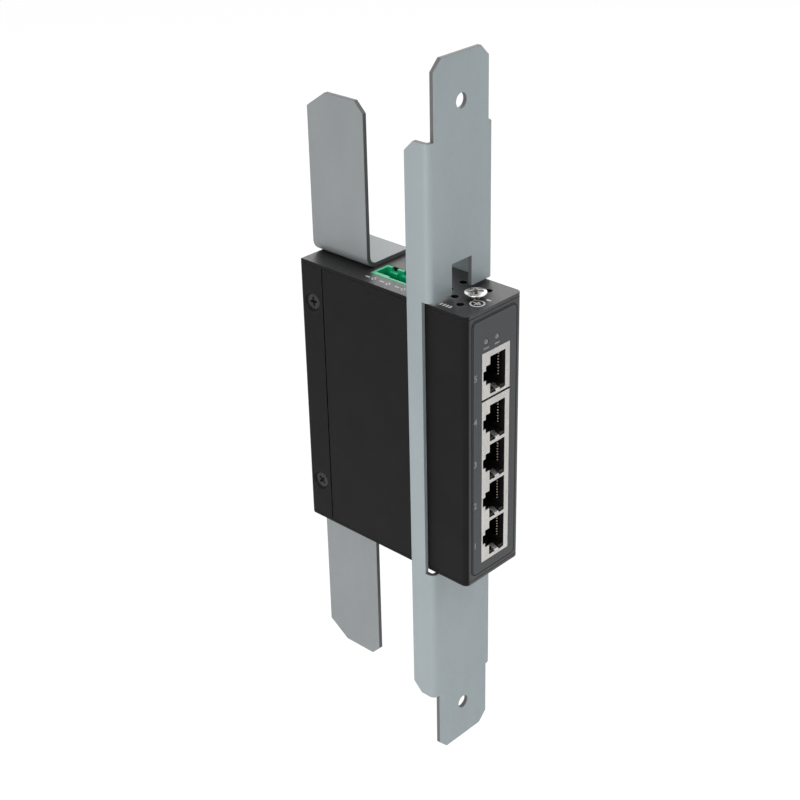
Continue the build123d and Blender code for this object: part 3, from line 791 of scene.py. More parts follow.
@dataclass(frozen=True)
class Screw:
    """A cross-recessed screw along its own axis, with its top at the head's height and its shank below zero.

    Attributes:
        head: the underside of the head.
        head_radius: the head's radius.
        head_height: the head's height.
        edge_round: the radius of the head's upper edge.
        thread_radius: the outer radius of the thread.
        length: the shank's length.
        recess_reach: from the axis to the end of a wing of the recess.
        recess_width: a wing's width.
        recess_depth: the recess's depth.
        pitch: the thread's pitch.
        dome: how far the top falls from its middle to its rim.
        turns: points round the screw.
        top_points: points from the top's middle to the start of the rounded edge.
        round_points: points on the rounded edge.
        rim: the chamfer under a flat head's rim.
        thread_start: where the thread starts below the head, as a share of the pitch.
        thread_rings: rings of points to one pitch.
        thread_depth: the thread's depth, as a share of the pitch.
        tip_share: the tip's radius, as a share of the thread's.
        tip_length: the tip's length, as a share of the thread's radius.
        recess_soft: the width of the recess's soft edge.
        recess_middle: the radius of the recess's middle, in half widths of a wing.
    """

    head: Head
    head_radius: float
    head_height: float
    edge_round: float
    thread_radius: float
    length: float
    recess_reach: float
    recess_width: float
    recess_depth: float
    pitch: float
    dome: float = 0.0
    turns: int = 96
    top_points: int = 34
    round_points: int = 6
    rim: float = 0.12 * MM
    thread_start: float = 0.3
    thread_rings: int = 8
    thread_depth: float = 0.27
    tip_share: float = 0.6
    tip_length: float = 0.3
    recess_soft: float = 0.12 * MM
    recess_middle: float = 1.5

    def outline(self) -> tuple[np.ndarray, np.ndarray, np.ndarray, np.ndarray]:
        """The half section, from the middle of the head's top to the tip.

        The top falls by the dome's height times the square of radius over head radius.

        Returns:
            Radii, heights, and two arrays that say which points take the recess and which the thread.
        """
        flat = np.linspace(0.0, self.head_radius - self.edge_round, self.top_points)
        turn = np.linspace(0.0, math.pi / 2, self.round_points + 1)[1:]
        arc_r = self.head_radius - self.edge_round * (1 - np.sin(turn))
        flat_z = self.head_height - self.dome * (flat / self.head_radius) ** 2
        arc_z = flat_z[-1] - self.edge_round * (1 - np.cos(turn))
        if self.head is Head.COUNTERSUNK:
            under_r = np.array([self.thread_radius])
            cone = self.head_radius - self.thread_radius
            under_z = np.array([self.head_height - self.edge_round - cone])
        else:
            under_r = np.array([self.head_radius, self.head_radius - self.rim, self.thread_radius])
            under_z = np.array([self.rim, 0.0, 0.0])
        start = float(under_z[-1])
        rings = max(int(self.length / self.pitch * self.thread_rings), self.thread_rings)
        shank_z = np.linspace(start - self.thread_start * self.pitch, start - self.length, rings)
        shank_r = np.full(rings, self.thread_radius)
        tip = shank_z[-1] - self.tip_length * self.thread_radius
        radii = np.concatenate([flat, arc_r, under_r, shank_r, [self.tip_share * self.thread_radius, 0.0]])
        heights = np.concatenate([flat_z, arc_z, under_z, shank_z, [tip, tip]])
        takes_recess, takes_thread = np.zeros(len(radii)), np.zeros(len(radii))
        takes_recess[:len(flat)] = 1.0
        takes_thread[-2 - rings:-2] = 1.0
        return radii, heights, takes_recess, takes_thread

    def surface(self) -> Surface:
        """The whole screw as a surface of turn.

        The recess lowers the head's top by its depth times a soft step of the distance to the wings, and the
        thread takes the radius in by a triangle wave of height over pitch less turn.

        Returns:
            Points and quads.
        """
        radii, heights, takes_recess, takes_thread = self.outline()
        angle = np.arange(self.turns) / self.turns * TAU
        radius, turn = np.meshgrid(radii, angle, indexing="ij")
        height = np.repeat(heights[:, None], self.turns, axis=1)
        wave = np.abs((height / self.pitch - turn / TAU) % 1.0 * 2 - 1)
        radius = radius - takes_thread[:, None] * wave * self.thread_depth * self.pitch
        x, y = radius * np.cos(turn), radius * np.sin(turn)
        half = self.recess_width / 2
        wings = self.step(self.recess_middle * half - np.hypot(x, y), 2 * self.recess_soft)
        for along, aside in ((x, y), (y, x)):
            width = self.step(half - np.abs(aside), self.recess_soft)
            wings = np.maximum(wings, width * self.step(self.recess_reach - np.abs(along), self.recess_soft))
        height = height - takes_recess[:, None] * wings * self.recess_depth
        return np.stack([x, y, height], axis=-1), grid_quads(len(radii), self.turns)

    @staticmethod
    def step(value: np.ndarray, soft: float) -> np.ndarray:
        """Soft step from 0 to 1 round zero: 3t^2 - 2t^3, where t is half of value / soft, plus a half."""
        share = np.clip(value / soft * 0.5 + 0.5, 0.0, 1.0)
        return share * share * (3 - 2 * share)

    def placed(self, place: Triple, axis: Triple, turn: float) -> Surface:
        """The screw where it belongs.

        Args:
            place: where the screw's zero is.
            axis: where the head points.
            turn: how far the screw is turned about it, in radians.

        Returns:
            Points and quads.
        """
        points, quads = self.surface()
        spin = np.array(Matrix.Rotation(turn, 3, "Z"))
        return points @ spin.T @ basis(axis).T + np.array(place), quads


@dataclass
class Fasteners:
    """Screws that show: four in the sides, four in the rear feet and the earth screw.

    Attributes:
        turns: how far the recesses of the black screws are turned, in radians.
        side: a side screw.
        foot: a foot screw.
        earth: the earth screw.
        earth_drop: from the top of the earth screw's solid down to the head's underside.
        earth_turn: how far its recess is turned, in radians.
        dull_share: the share of the recess's depth below which the metal takes painted shade.
        dull_gap: from the head's underside down to where the shank takes painted shade.
    """

    turns: tuple[float, ...] = (0.35, 1.1, 0.8, 0.15)
    side: Screw = Screw(
        head=Head.COUNTERSUNK, head_radius=2.7 * MM, head_height=0.2 * MM, edge_round=0.2 * MM,
        thread_radius=1.5 * MM, length=1.3 * MM, recess_reach=1.45 * MM, recess_width=0.62 * MM,
        recess_depth=1.0 * MM, pitch=0.5 * MM,
    )
    foot: Screw = Screw(
        head=Head.COUNTERSUNK, head_radius=2.15 * MM, head_height=0.15 * MM, edge_round=0.15 * MM,
        thread_radius=1.25 * MM, length=3.4 * MM, recess_reach=1.15 * MM, recess_width=0.5 * MM,
        recess_depth=0.8 * MM, pitch=0.45 * MM,
    )
    earth: Screw = Screw(
        head=Head.FLAT, head_radius=3.5 * MM, head_height=0.95 * MM, edge_round=0.22 * MM,
        thread_radius=1.5 * MM, length=5.5 * MM, recess_reach=2.3 * MM, recess_width=1.0 * MM,
        recess_depth=0.45 * MM, pitch=0.5 * MM, dome=0.5 * MM, turns=128,
    )
    earth_drop: float = 2.0 * MM
    earth_turn: float = 0.76
    dull_share: float = 0.5
    dull_gap: float = 0.1 * MM

    def build_side_screws(self, finish: Material) -> None:
        """Makes the countersunk screws in the ears' dimples, two on each side.

        Args:
            finish: their material.
        """
        low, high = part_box("shell_screws")
        radius = self.side.head_radius
        face = high.x - self.side.head_height
        middle_y = (low.y + high.y) / 2
        spots = [(side, level) for side in (1.0, -1.0) for level in (low.z + radius, high.z - radius)]
        parts = [
            self.side.placed((side * face, middle_y, level), (side, 0.0, 0.0), turn)
            for (side, level), turn in zip(spots, self.turns)
        ]
        dress(joined("side_screws", parts), finish, Slot.BLACK_SCREW, "shell_screws")

    def build_foot_screws(self, finish: Material) -> None:
        """Makes the flush screws in the feet of the rear brackets, two above and two below.

        Args:
            finish: their material.
        """
        low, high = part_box("rear_bracket_screws")
        radius, height = self.foot.head_radius, self.foot.head_height
        spots = ((high.x - radius, high.y - radius), (low.x + radius, low.y + radius))
        parts = [
            self.foot.placed((x, y, level), (0.0, 0.0, side), turn)
            for side, level in ((1.0, high.z - height), (-1.0, low.z + height))
            for (x, y), turn in zip(spots, self.turns)
        ]
        dress(joined("foot_screws", parts), finish, Slot.BLACK_SCREW, "rear_bracket_screws")

    def build_earth_screw(self, finish: Material) -> None:
        """Makes the plated screw that stands proud of the top, with painted shade in its recess and down its
        shank.

        Args:
            finish: its material.
        """
        low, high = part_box("earth_screw")
        under = high.z - self.earth_drop
        place = ((low.x + high.x) / 2, (low.y + high.y) / 2, under)
        piece = joined("earth_screw_plated", [self.earth.placed(place, UPWARD, self.earth_turn)])
        middles, _ = face_frames(piece.data)
        height = middles[:, 2] - under
        radius = np.hypot(middles[:, 0] - place[0], middles[:, 1] - place[1])
        top = self.earth.head_height - self.earth.dome * (radius / self.earth.head_radius) ** 2
        # The recess and the shank below the head take painted shade.
        sunk = (height < top - self.dull_share * self.earth.recess_depth) & (radius < self.earth.recess_reach)
        mark_faces(piece.data, PAINTED_SHADE_MARK, sunk | (height < -self.dull_gap))
        dress(piece, finish, Slot.PLATED, "earth_screw")


@dataclass
class Case:
    """Two folded shells and the front overlay.

    Attributes:
        edge: how far the shells' edges are rounded.
        label_edge: how far the overlay's edges are rounded.
        label_corner: the radius of the overlay's corners.
        line_inset: from the overlay's edge to the middle of its dark line.
        line_width: the line's width.
        front_reach: what looks forward within this distance of the front belongs to the front.
    """

    edge: float = 0.16 * MM
    label_edge: float = 0.06 * MM
    label_corner: float = 2.0 * MM
    line_inset: float = 0.3 * MM
    line_width: float = 0.4 * MM
    front_reach: float = 5.0 * MM

    def build(self, coat: Material) -> None:
        """Dresses the shells and lays the overlay.

        The front and the top take a painted sheen, and the gaps before the ears take painted shade.

        Args:
            coat: the shells' material.
        """
        wrap = softened("wrap_shell", "wrap_shell_coated", self.edge)
        # The front takes a painted sheen.
        mark_faces(wrap.data, PAINTED_SHEEN_MARK, face_frames(wrap.data)[1][:, 1] < -ALONG)
        dress(wrap, coat, Slot.CASE, "wrap_shell")
        spine = softened("spine_shell", "spine_shell_coated", self.edge)
        middles, normals = face_frames(spine.data)
        forward = normals[:, 1] < -ALONG
        front = middles[:, 1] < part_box("spine_shell")[0].y + self.front_reach
        # The top and the front take a painted sheen; the ears' front edges, seen through the gaps, take
        # painted shade.
        mark_faces(spine.data, PAINTED_SHEEN_MARK, (normals[:, 2] > ALONG) | (forward & front))
        mark_faces(spine.data, PAINTED_SHADE_MARK, forward & ~front)
        dress(spine, coat, Slot.CASE, "spine_shell")
        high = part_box("front_label")[1]
        film = LabelFinish(high.x, high.z, self.label_corner, self.line_inset, self.line_width).build()
        dress(softened("front_label", "front_overlay", self.label_edge, 1), film, Slot.LABEL, "front_label")


@dataclass
class Brackets:
    """The front channel and the two rear brackets.

    Attributes:
        edge: how far their edges are rounded.
        bend_reach: how far a bend reaches past the sheets that it joins.
        turned: a face is turned to a direction when its normal's part along it is more than this.
    """

    edge: float = 0.14 * MM
    bend_reach: float = 2.5 * MM
    turned: float = 0.3

    def channel_cuts(self, mesh: bpy.types.Mesh) -> np.ndarray:
        """Finds the sheared faces of the channel: its ends, and what goes through the web's thickness.

        Args:
            mesh: the channel's mesh.

        Returns:
            Whether each face is sheared.
        """
        middles, normals = face_frames(mesh)
        x, y, z = middles.T
        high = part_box("front_channel_bracket")[1]
        flange_top = z[y > self.bend_reach].max()
        inner = (np.abs(x) < high.x - self.bend_reach) | (np.abs(z) > flange_top)
        through = (np.abs(normals[:, 1]) < self.turned) & inner & (y < self.bend_reach)
        return through | (np.abs(normals[:, 2]) > self.turned)

    def angle_cuts(self, mesh: bpy.types.Mesh) -> np.ndarray:
        """Finds the sheared faces of an angle bracket: its sides, the tab's end and the foot's end.

        Args:
            mesh: the bracket's mesh.

        Returns:
            Whether each face is sheared.
        """
        middles, normals = face_frames(mesh)
        x, height = middles[:, 0], np.abs(middles[:, 2])
        ends = (height > height.max() - self.edge) | (x > x.max() - self.edge)
        return (np.abs(normals[:, 1]) > self.turned) | ends

    def build(self, channel_coat: Material, rear_painted_shade_coat: Material) -> None:
        """Dresses each bracket and gives its sheared edges painted shade.

        Args:
            channel_coat: the front channel's material.
            rear_painted_shade_coat: the rear brackets' material, the channel's coat made darker as painted
                shade.
        """
        rules = {
            "front_channel_bracket": (channel_coat, self.channel_cuts),
            "rear_upper_bracket": (rear_painted_shade_coat, self.angle_cuts),
            "rear_lower_bracket": (rear_painted_shade_coat, self.angle_cuts),
        }
        for node, (coat, cuts) in rules.items():
            piece = softened(node, f"{node}_coated", self.edge)
            # Sheared edges take painted shade.
            mark_faces(piece.data, PAINTED_SHADE_MARK, cuts(piece.data))
            dress(piece, coat, Slot.BRACKET, node)


@dataclass
class Sockets:
    """Shields, moulded inserts and contact wires of one group of sockets.

    Attributes:
        group: the start of the names of the group's nodes.
        ports: how many sockets it has.
        shield_edge: how far the shield's edges are rounded.
        housing_edge: how far the insert's edges are rounded.
        contact_pitch: from one wire of a socket to the next.
        contact_count: wires in a socket.
        contact_width: a wire's width.
        contact_thickness: a wire's thickness.
        wire_back: from the wires' ends at the board to their long run.
        nose_length: how far the wires run across at their front.
        free_reach: from their front to their free ends.
        plated_reach: from their front to where the gold plating ends and painted shade begins.
    """

    group: str
    ports: int
    shield_edge: float = 0.09 * MM
    housing_edge: float = 0.08 * MM
    contact_pitch: float = 1.016 * MM
    contact_count: int = 8
    contact_width: float = 0.45 * MM
    contact_thickness: float = 0.35 * MM
    wire_back: float = 1.575 * MM
    nose_length: float = 0.7 * MM
    free_reach: float = 6.9 * MM
    plated_reach: float = 0.7 * MM

    def centres(self) -> np.ndarray:
        """Works out the sockets' places from the contacts' box.

        Returns:
            The height of each socket's middle, from the top down.
        """
        low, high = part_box(f"{self.group}_contacts")
        half = ((self.contact_count - 1) * self.contact_pitch + self.contact_width) / 2
        return np.linspace(high.z - half, low.z + half, self.ports)

    def wire_route(self) -> np.ndarray:
        """Lays out one wire, at height zero.

        Returns:
            Its corners, from the board to its free end.
        """
        low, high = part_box(f"{self.group}_contacts")
        half = self.contact_thickness / 2
        back, tail, nose = high.x - self.wire_back, high.y - half, low.y + half
        return np.array([
            (high.x, tail, 0.0),
            (back, tail, 0.0),
            (back, nose, 0.0),
            (back - self.nose_length, nose, 0.0),
            (low.x + half, nose + self.free_reach, 0.0),
        ])

    def build(self, nickel: Material, plastic: Material, gold: Material) -> None:
        """Builds and dresses the group's pieces.

        Args:
            nickel: the shield's material.
            plastic: the insert's material.
            gold: the wires' material.
        """
        shield, housing = f"{self.group}_shield", f"{self.group}_housing"
        dress(softened(shield, f"{shield}_plated", self.shield_edge), nickel, Slot.SHIELD, shield)
        dress(softened(housing, f"{housing}_moulded", self.housing_edge, 1), plastic, Slot.SOCKET, housing)
        route = rounded_route(self.wire_route(), self.contact_thickness)
        steps = np.arange(self.contact_count) - (self.contact_count - 1) / 2
        wires = [
            carried_bar(route + level * np.array(UPWARD), UPWARD, self.contact_width, self.contact_thickness)
            for level in (self.centres()[:, None] + steps * self.contact_pitch).ravel()
        ]
        piece = joined(f"{self.group}_wires", wires)
        # Beyond the plated front the wires take painted shade.
        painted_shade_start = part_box(f"{self.group}_contacts")[0].y + self.plated_reach
        mark_faces(piece.data, PAINTED_SHADE_MARK, face_frames(piece.data)[0][:, 1] > painted_shade_start)
        dress(piece, gold, Slot.CONTACT, f"{self.group}_contacts")


@dataclass
class Terminals:
    """The green header in the top plate and its pins.

    Attributes:
        edge: how far the header's edges are rounded.
        pin: a pin's width.
        poles: how many pins there are.
        point: the length of a pin's tapered end.
        taper: the share of its width that the end keeps.
        sides: points round a pin.
    """

    edge: float = 0.12 * MM
    pin: float = 1.0 * MM
    poles: int = 4
    point: float = 0.6 * MM
    taper: float = 0.6
    sides: int = 20

    def build(self, plastic: Material, tin: Material) -> None:
        """Builds and dresses the header and its pins.

        Args:
            plastic: the header's material.
            tin: the pins' material.
        """
        header = softened("terminal_header", "terminal_header_moulded", self.edge)
        dress(header, plastic, Slot.TERMINAL, "terminal_header")
        low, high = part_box("terminal_pins")
        x = (low.x + high.x) / 2
        pins = []
        for y in np.linspace(low.y + self.pin / 2, high.y - self.pin / 2, self.poles):
            path = np.array([[x, y, low.z], [x, y, high.z - self.point], [x, y, high.z]])
            pins.append(carried_bar(path, LEFT_TO_RIGHT, self.pin, self.pin, self.sides, self.taper))
        dress(joined("terminal_pins_tinned", pins), tin, Slot.PIN, "terminal_pins")


@dataclass
class Lights:
    """Lenses of the two status lights.

    Attributes:
        dome: how far a lens's middle stands before its rim.
        turns: points round a lens.
        dome_points: points from its middle to its rim.
    """

    dome: float = 0.3 * MM
    turns: int = 48
    dome_points: int = 12

    def build(self, finish: Material) -> None:
        """Builds two domed lenses.

        From the middle to the rim, the radius follows the sine of a quarter turn, and the depth 1 less its
        cosine.

        Args:
            finish: the lenses' material.
        """
        low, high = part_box("status_lights")
        radius, middle = (high.z - low.z) / 2, (low.z + high.z) / 2
        bend = np.linspace(0.0, math.pi / 2, self.dome_points)
        radii = np.concatenate([radius * np.sin(bend), [radius, 0.0]])[:, None]
        depth = np.concatenate([low.y + self.dome * (1 - np.cos(bend)), [high.y, high.y]])
        angle = np.arange(self.turns) / self.turns * TAU
        ring_y = np.repeat(depth[:, None], self.turns, axis=1)
        parts = []
        for x in (low.x + radius, high.x - radius):
            points = np.stack([x + radii * np.cos(angle), ring_y, middle + radii * np.sin(angle)], axis=-1)
            parts.append((points, grid_quads(len(radii), self.turns)))
        dress(joined("status_lenses", parts), finish, Slot.LENS, "status_lights")


@dataclass
class Print:
    """Generic marks: port numbers, light bars, polarity marks, the earth sign and plain dashes.

    Attributes:
        thickness: the ink's thickness.
        stroke: the width of the strokes of the marks.
        number_top: the number beside the uppermost socket.
        number_size: the numbers' size.
        number_weight: how much their strokes are thickened.
        number_x: their place across the front.
        number_rise: how far the upper number stands above its socket's middle.
        number_pitch: from one number to the next.
        light_bar: width and height of the bar under a light.
        light_bar_drop: how far it lies below the light.
        polarity_x: the place of the polarity marks across the top.
        polarity_levels: the middles of their pairs, from rear to front.
        polarity_size: the size of a plus or a minus.
        polarity_step: how far each stands from the pair's middle.
        cross_share: the share of the stroke that the second bar of a plus has.
        earth_place: the middle of the earth sign on the top.
        earth_radius: the radius of its ring.
        earth_bars: rise and length of its three bars.
        earth_bar_share: the share of the stroke that those bars have.
        earth_stem: rise and length of its stem.
        edge_dash_x: the place of the row of dashes across the top.
        edge_dash_levels: their places from rear to front.
        edge_dash: their width and length.
        lone_dash_place: the place of the single dash on the top.
        lone_dash: its width and length.
        ring_points: points round the ring.
    """

    thickness: float = 0.02 * MM
    stroke: float = 0.55 * MM
    number_top: int = 5
    number_size: float = 3.0 * MM
    number_weight: float = 0.07 * MM
    number_x: float = -9.1 * MM
    number_rise: float = 0.7 * MM
    number_pitch: float = 14.97 * MM
    light_bar: tuple[float, float] = (2.4 * MM, 0.55 * MM)
    light_bar_drop: float = 2.1 * MM
    polarity_x: float = -9.7 * MM
    polarity_levels: tuple[float, ...] = (27.6 * MM, 21.6 * MM, 15.2 * MM)
    polarity_size: float = 1.8 * MM
    polarity_step: float = 1.3 * MM
    cross_share: float = 0.999
    earth_place: tuple[float, float] = (-2.9 * MM, -10.1 * MM)
    earth_radius: float = 2.15 * MM
    earth_bars: tuple[tuple[float, float], ...] = (
        (0.2 * MM, 2.5 * MM), (-0.45 * MM, 1.6 * MM), (-1.1 * MM, 0.7 * MM)
    )
    earth_bar_share: float = 0.8
    earth_stem: tuple[float, float] = (1.0 * MM, 1.2 * MM)
    edge_dash_x: float = -10.0 * MM
    edge_dash_levels: tuple[float, ...] = (-2.0 * MM, -3.2 * MM, -4.4 * MM, -5.6 * MM)
    edge_dash: tuple[float, float] = (1.44 * MM, 0.7 * MM)
    lone_dash_place: tuple[float, float] = (1.1 * MM, -11.2 * MM)
    lone_dash: tuple[float, float] = (0.88 * MM, 1.7 * MM)
    ring_points: int = 64

    def slab(self, place: Triple, up: Triple, out: Triple, width: float, height: float) -> Surface:
        """A thin rectangle of ink: two rings of four corners, closed to a point at both ends.

        Args:
            place: the middle of its underside.
            up: the direction of its height.
            out: the direction that it faces.
            width: its size from left to right.
            height: its other size.

        Returns:
            Points and quads.
        """
        signs = np.array([[-1, -1], [1, -1], [1, 1], [-1, 1]], dtype=float)
        across = signs[:, :1] * np.array(LEFT_TO_RIGHT) * width / 2
        ring = np.array(place) + across + signs[:, 1:] * np.array(up) * height / 2
        middle = np.broadcast_to(np.array(place), (4, 3))
        rise = np.array(out) * self.thickness
        return np.stack([middle, ring, ring + rise, middle + rise]), grid_quads(4, 4)

    def top_plate(self, x: float, y: float, width: float, height: float) -> Surface:
        """A thin rectangle of ink on the top plate."""
        return self.slab((x, y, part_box("spine_shell")[1].z), (0.0, 1.0, 0.0), UPWARD, width, height)

    def ring(self, x: float, y: float, radius: float) -> Surface:
        """A thin ring of ink on the top plate: a rectangle carried round a circle.

        Args:
            x: the ring's middle across the top.
            y: its middle from front to rear.
            radius: its radius.

        Returns:
            Points and quads.
        """
        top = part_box("spine_shell")[1].z
        angle = np.arange(self.ring_points) / self.ring_points * TAU
        half = self.stroke / 2
        across = np.array([-half, half, half, -half, -half])[:, None]
        rise = np.array([0.0, 0.0, self.thickness, self.thickness, 0.0])[:, None]
        reach = radius + across
        ring_z = np.repeat(top + rise, self.ring_points, axis=1)
        points = np.stack([x + reach * np.cos(angle), y + reach * np.sin(angle), ring_z], axis=-1)
        return points, grid_quads(len(rise), self.ring_points)

    def build_numbers(self, ink: Material) -> None:
        """Writes plain port numbers at an even pitch beside the sockets, from the top down to 1.

        Args:
            ink: the ink's material.
        """
        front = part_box("front_label")[0].y
        top = Sockets("uplink", 1).centres()[0] + self.number_rise
        stand = Matrix.Rotation(math.pi / 2, 4, "X")
        for step, number in enumerate(range(self.number_top, 0, -1)):
            name = f"port_number_{number}"
            curve = bpy.data.curves.new(name, "FONT")
            curve.body = str(number)
            curve.size = self.number_size
            curve.offset = self.number_weight
            curve.extrude = self.thickness / 2
            curve.align_x, curve.align_y = "CENTER", "CENTER"
            writing = added("writing", curve)
            mesh = bpy.data.meshes.new_from_object(writing)
            bpy.data.objects.remove(writing)
            place = Vector((self.number_x, front - self.thickness / 2, top - step * self.number_pitch))
            mesh.transform(Matrix.Translation(place) @ stand)
            dress(added(name, mesh), ink, Slot.LABEL)

    def build_light_bars(self, ink: Material) -> None:
        """Lays a plain bar under each status light.

        Args:
            ink: the ink's material.
        """
        low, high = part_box("status_lights")
        radius = (high.z - low.z) / 2
        front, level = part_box("front_label")[0].y, (low.z + high.z) / 2 - self.light_bar_drop
        bars = [
            self.slab((x, front, level), UPWARD, (0.0, -1.0, 0.0), *self.light_bar)
            for x in (low.x + radius, high.x - radius)
        ]
        dress(joined("light_bars", bars), ink, Slot.LABEL)

    def build_polarity_marks(self, ink: Material) -> None:
        """Lays a row of minus and plus marks beside the terminals.

        Args:
            ink: the ink's material.
        """
        x, size, stroke = self.polarity_x, self.polarity_size, self.stroke
        marks = []
        for y in self.polarity_levels:
            marks.append(self.top_plate(x, y + self.polarity_step, stroke, size))
            marks.append(self.top_plate(x, y - self.polarity_step, stroke, size))
            marks.append(self.top_plate(x, y - self.polarity_step, size, stroke * self.cross_share))
        dress(joined("polarity_marks", marks), ink, Slot.CASE)

    def build_earth_sign(self, ink: Material) -> None:
        """Lays the earth sign: a ring round three bars that shorten below a stem.

        Args:
            ink: the ink's material.
        """
        x, y = self.earth_place
        height = self.stroke * self.earth_bar_share
        sign = [self.ring(x, y, self.earth_radius)]
        sign += [self.top_plate(x, y + rise, length, height) for rise, length in self.earth_bars]
        rise, length = self.earth_stem
        sign.append(self.top_plate(x, y + rise, self.stroke, length))
        dress(joined("earth_sign", sign), ink, Slot.CASE)

    def build_dashes(self, ink: Material) -> None:
        """Lays plain dashes: a row at the left edge of the top and one beside the earth sign.

        Args:
            ink: the ink's material.
        """
        dashes = [self.top_plate(self.edge_dash_x, y, *self.edge_dash) for y in self.edge_dash_levels]
        dashes.append(self.top_plate(*self.lone_dash_place, *self.lone_dash))
        dress(joined("edge_dashes", dashes), ink, Slot.CASE)

    def build(self, white: Material, grey: Material) -> None:
        """Lays all the marks.

        Args:
            white: the ink on the top.
            grey: the ink on the front.
        """
        self.build_numbers(grey)
        self.build_light_bars(grey)
        self.build_polarity_marks(white)
        self.build_earth_sign(white)
        self.build_dashes(white)


@dataclass
class Inside:
    """Pieces inside the case, which keep their solids and take a finish."""

    boards: tuple[str, ...] = ("main_board", "power_board")
    mouldings: tuple[str, ...] = (
        "board_link_header", "port_magnetics", "switch_chip", "power_inductor", "supply_fuse",
        "regulator_chip", "light_holder",
    )
    cans: tuple[str, ...] = ("clock_crystal", "filter_capacitors")
    hardware: tuple[str, ...] = (
        "channel_studs", "channel_nuts", "earth_nut", "board_standoffs", "board_screws"
    )

    def build(self) -> None:
        """Gives each inner node its finish."""
        finishes = {RESIST: self.boards, EPOXY: self.mouldings, BRIGHT_CAN: self.cans, ZINC: self.hardware}
        for finish, nodes in finishes.items():
            material = finish.build()
            for node in nodes:
                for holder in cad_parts[node].material_slots:
                    holder.material = material
                log.info("%s keeps its solid", node)


@dataclass(frozen=True)
class SoftBox:
    """A square area lamp that points at the origin."""

    name: str
    place: Triple
    size: float
    power: float

    def build(self) -> None:
        """Hangs the lamp in its place."""
        light = bpy.data.lights.new(self.name, "AREA")
        light.size, light.energy = self.size, self.power
        lamp = added(self.name, light)
        lamp.location = self.place
        lamp.rotation_mode = "QUATERNION"
        lamp.rotation_quaternion = (-Vector(self.place)).to_track_quat("-Z", "Y")


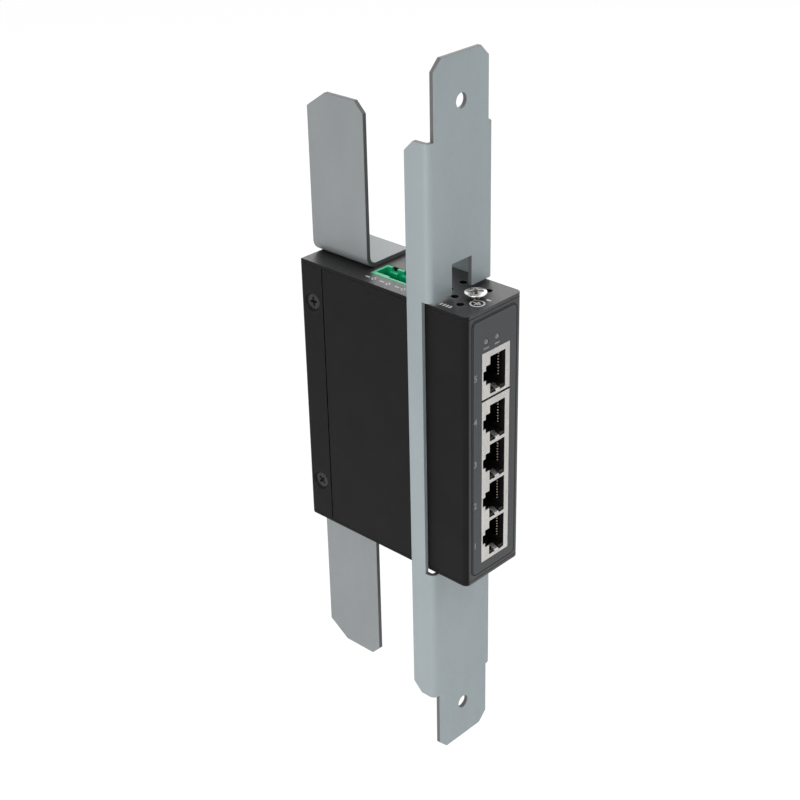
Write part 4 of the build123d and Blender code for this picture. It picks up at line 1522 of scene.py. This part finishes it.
@dataclass
class Studio:
    """Floor, surroundings, lamps and camera.

    Attributes:
        floor_drop: how far the floor lies below the part.
        floor_reach: half of the floor's width.
        floor_tone: the floor's own tone.
        floor_rough: its roughness.
        glow: the strength of the even glow that the camera sees on it.
        glow_share: the share of that glow.
        ambient: the strength of the surroundings' light.
        patch_span: the cosines between which the dark patch behind the camera fades in.
        patch_strength: the strength of its middle.
        camera_place: where the camera stands.
        azimuth: how far the view is turned to the left, in degrees.
        elevation: how far it looks down, in degrees.
        roll: how far it is rolled, in degrees.
        lens: the camera's focal length in millimetres.
        sensor: its sensor's width in millimetres.
        lamps: high at the right, above, low at the left, and behind at the right.
    """

    floor_drop: float = 0.16
    floor_reach: float = 6.0
    floor_tone: Triple = (0.93, 0.93, 0.93)
    floor_rough: float = 0.9
    glow: float = 1.05
    glow_share: float = 0.85
    ambient: float = 0.62
    patch_span: tuple[float, float] = (0.72, 0.92)
    patch_strength: float = 0.05
    camera_place: Triple = (-0.3414, -0.2998, 0.2524)
    azimuth: float = 46.38
    elevation: float = 28.02
    roll: float = -1.3
    lens: float = 73.55
    sensor: float = 36.0
    lamps: tuple[SoftBox, ...] = (
        SoftBox("key_box", (0.55, -0.75, 1.05), 0.9, 3.0),
        SoftBox("top_box", (0.1, 0.1, 1.3), 0.9, 6.5),
        SoftBox("fill_box", (-1.1, -0.3, 0.35), 0.8, 6.6),
        SoftBox("rear_box", (0.8, 0.76, 0.6), 0.9, 3.0),
    )

    def build_floor(self) -> None:
        """Lays a wide pale floor below the part, which shows near white and keeps a soft shadow."""
        level = FRAME_BOUNDS[0].z - self.floor_drop
        reach = np.array([-1.0, 1.0]) * self.floor_reach
        x, y = np.meshgrid(reach, reach, indexing="ij")
        points = np.stack([x, y, np.full_like(x, level)], axis=-1)
        mesh = bpy.data.meshes.new("floor")
        mesh.from_pydata(points.reshape(-1, 3).tolist(), [], [(0, 2, 3, 1)])
        floor = added("floor", mesh)
        graph = NodeGraph(bpy.data.materials.new("pale_floor"))
        graph.put(self.floor_tone, graph.shader.inputs["Base Color"])
        graph.put(self.floor_rough, graph.shader.inputs["Roughness"])
        glow = graph.add("ShaderNodeEmission", strength=self.glow)
        camera_ray = graph.add("ShaderNodeLightPath").outputs["Is Camera Ray"]
        share = graph.calculate("MULTIPLY", camera_ray, self.glow_share)
        graph.show_mix(share, graph.shader, glow, "Material Output")
        mesh.materials.append(graph.owner)

    def build_world(self) -> None:
        """Makes even pale surroundings that show as white, with a dark patch behind the camera.

        Rays from the camera, or by way of a mirror or glass, see the white. The patch gives bright metal
        something dark to mirror. It follows the cosine between a ray and the direction of the camera.
        """
        world = bpy.data.worlds.new("studio")
        bpy.context.scene.world = world
        graph = NodeGraph(world)
        ambient, white = graph.tree.nodes["Background"], graph.add("ShaderNodeBackground")
        for backdrop in (ambient, white):
            graph.put(WHITE, backdrop.inputs["Color"])
        graph.put(self.ambient, ambient.inputs["Strength"])
        toward = graph.add("ShaderNodeVectorMath", operation="DOT_PRODUCT")
        toward.inputs[1].default_value = Vector(self.camera_place).normalized()
        graph.put(graph.add("ShaderNodeTexCoord").outputs["Generated"], toward.inputs[0])
        patch = graph.ramp(toward.outputs["Value"], 1.0, self.patch_strength, self.patch_span)
        graph.put(patch, white.inputs["Strength"])
        rays = graph.add("ShaderNodeLightPath").outputs
        seen = rays["Is Camera Ray"]
        for name in ("Is Glossy Ray", "Is Transmission Ray"):
            seen = graph.calculate("MAXIMUM", seen, rays[name])
        graph.show_mix(seen, ambient, white, "World Output")

    def build_camera(self) -> None:
        """Sets up the photograph's view: turned about the part, tipped down and rolled a little."""
        turn, tip, roll = (math.radians(angle) for angle in (self.azimuth, self.elevation, self.roll))
        back = Vector((-math.sin(turn) * math.cos(tip), -math.cos(turn) * math.cos(tip), math.sin(tip)))
        right = Vector(UPWARD).cross(back).normalized()
        up = back.cross(right)
        side = right * math.cos(roll) + up * math.sin(roll)
        head = up * math.cos(roll) - right * math.sin(roll)
        data = bpy.data.cameras.new("photo_view")
        data.lens, data.sensor_width = self.lens, self.sensor
        camera = added("photo_view", data)
        matrix = Matrix((side, head, back)).transposed().to_4x4()
        matrix.translation = Vector(self.camera_place)
        camera.matrix_world = matrix
        bpy.context.scene.camera = camera

    def build(self) -> None:
        """Builds the whole studio."""
        self.build_floor()
        self.build_world()
        for lamp in self.lamps:
            lamp.build()
        self.build_camera()
        bpy.context.scene.view_settings.view_transform = "Standard"


def main() -> None:
    """Builds every sub-assembly in order."""
    logging.basicConfig(level=logging.INFO, format="%(message)s")
    Case().build(POWDER.build())
    Brackets().build(CHANNEL_COAT.build(), REAR_PAINTED_SHADE_COAT.build())
    fasteners, oxide = Fasteners(), BLACK_OXIDE.build()
    fasteners.build_side_screws(oxide)
    fasteners.build_foot_screws(oxide)
    fasteners.build_earth_screw(ZINC.build())
    nickel, plastic, gold = NICKEL.build(), MOULDED_BLACK.build(), GOLD.build()
    Sockets("uplink", 1).build(nickel, plastic, gold)
    Sockets("port_bank", 4).build(nickel, plastic, gold)
    Terminals().build(GREEN.build(), TIN.build())
    Lights().build(LENS.build())
    Print().build(INK.build(), GREY_INK.build())
    Inside().build()
    Studio().build()


if __name__ == "__main__":
    main()
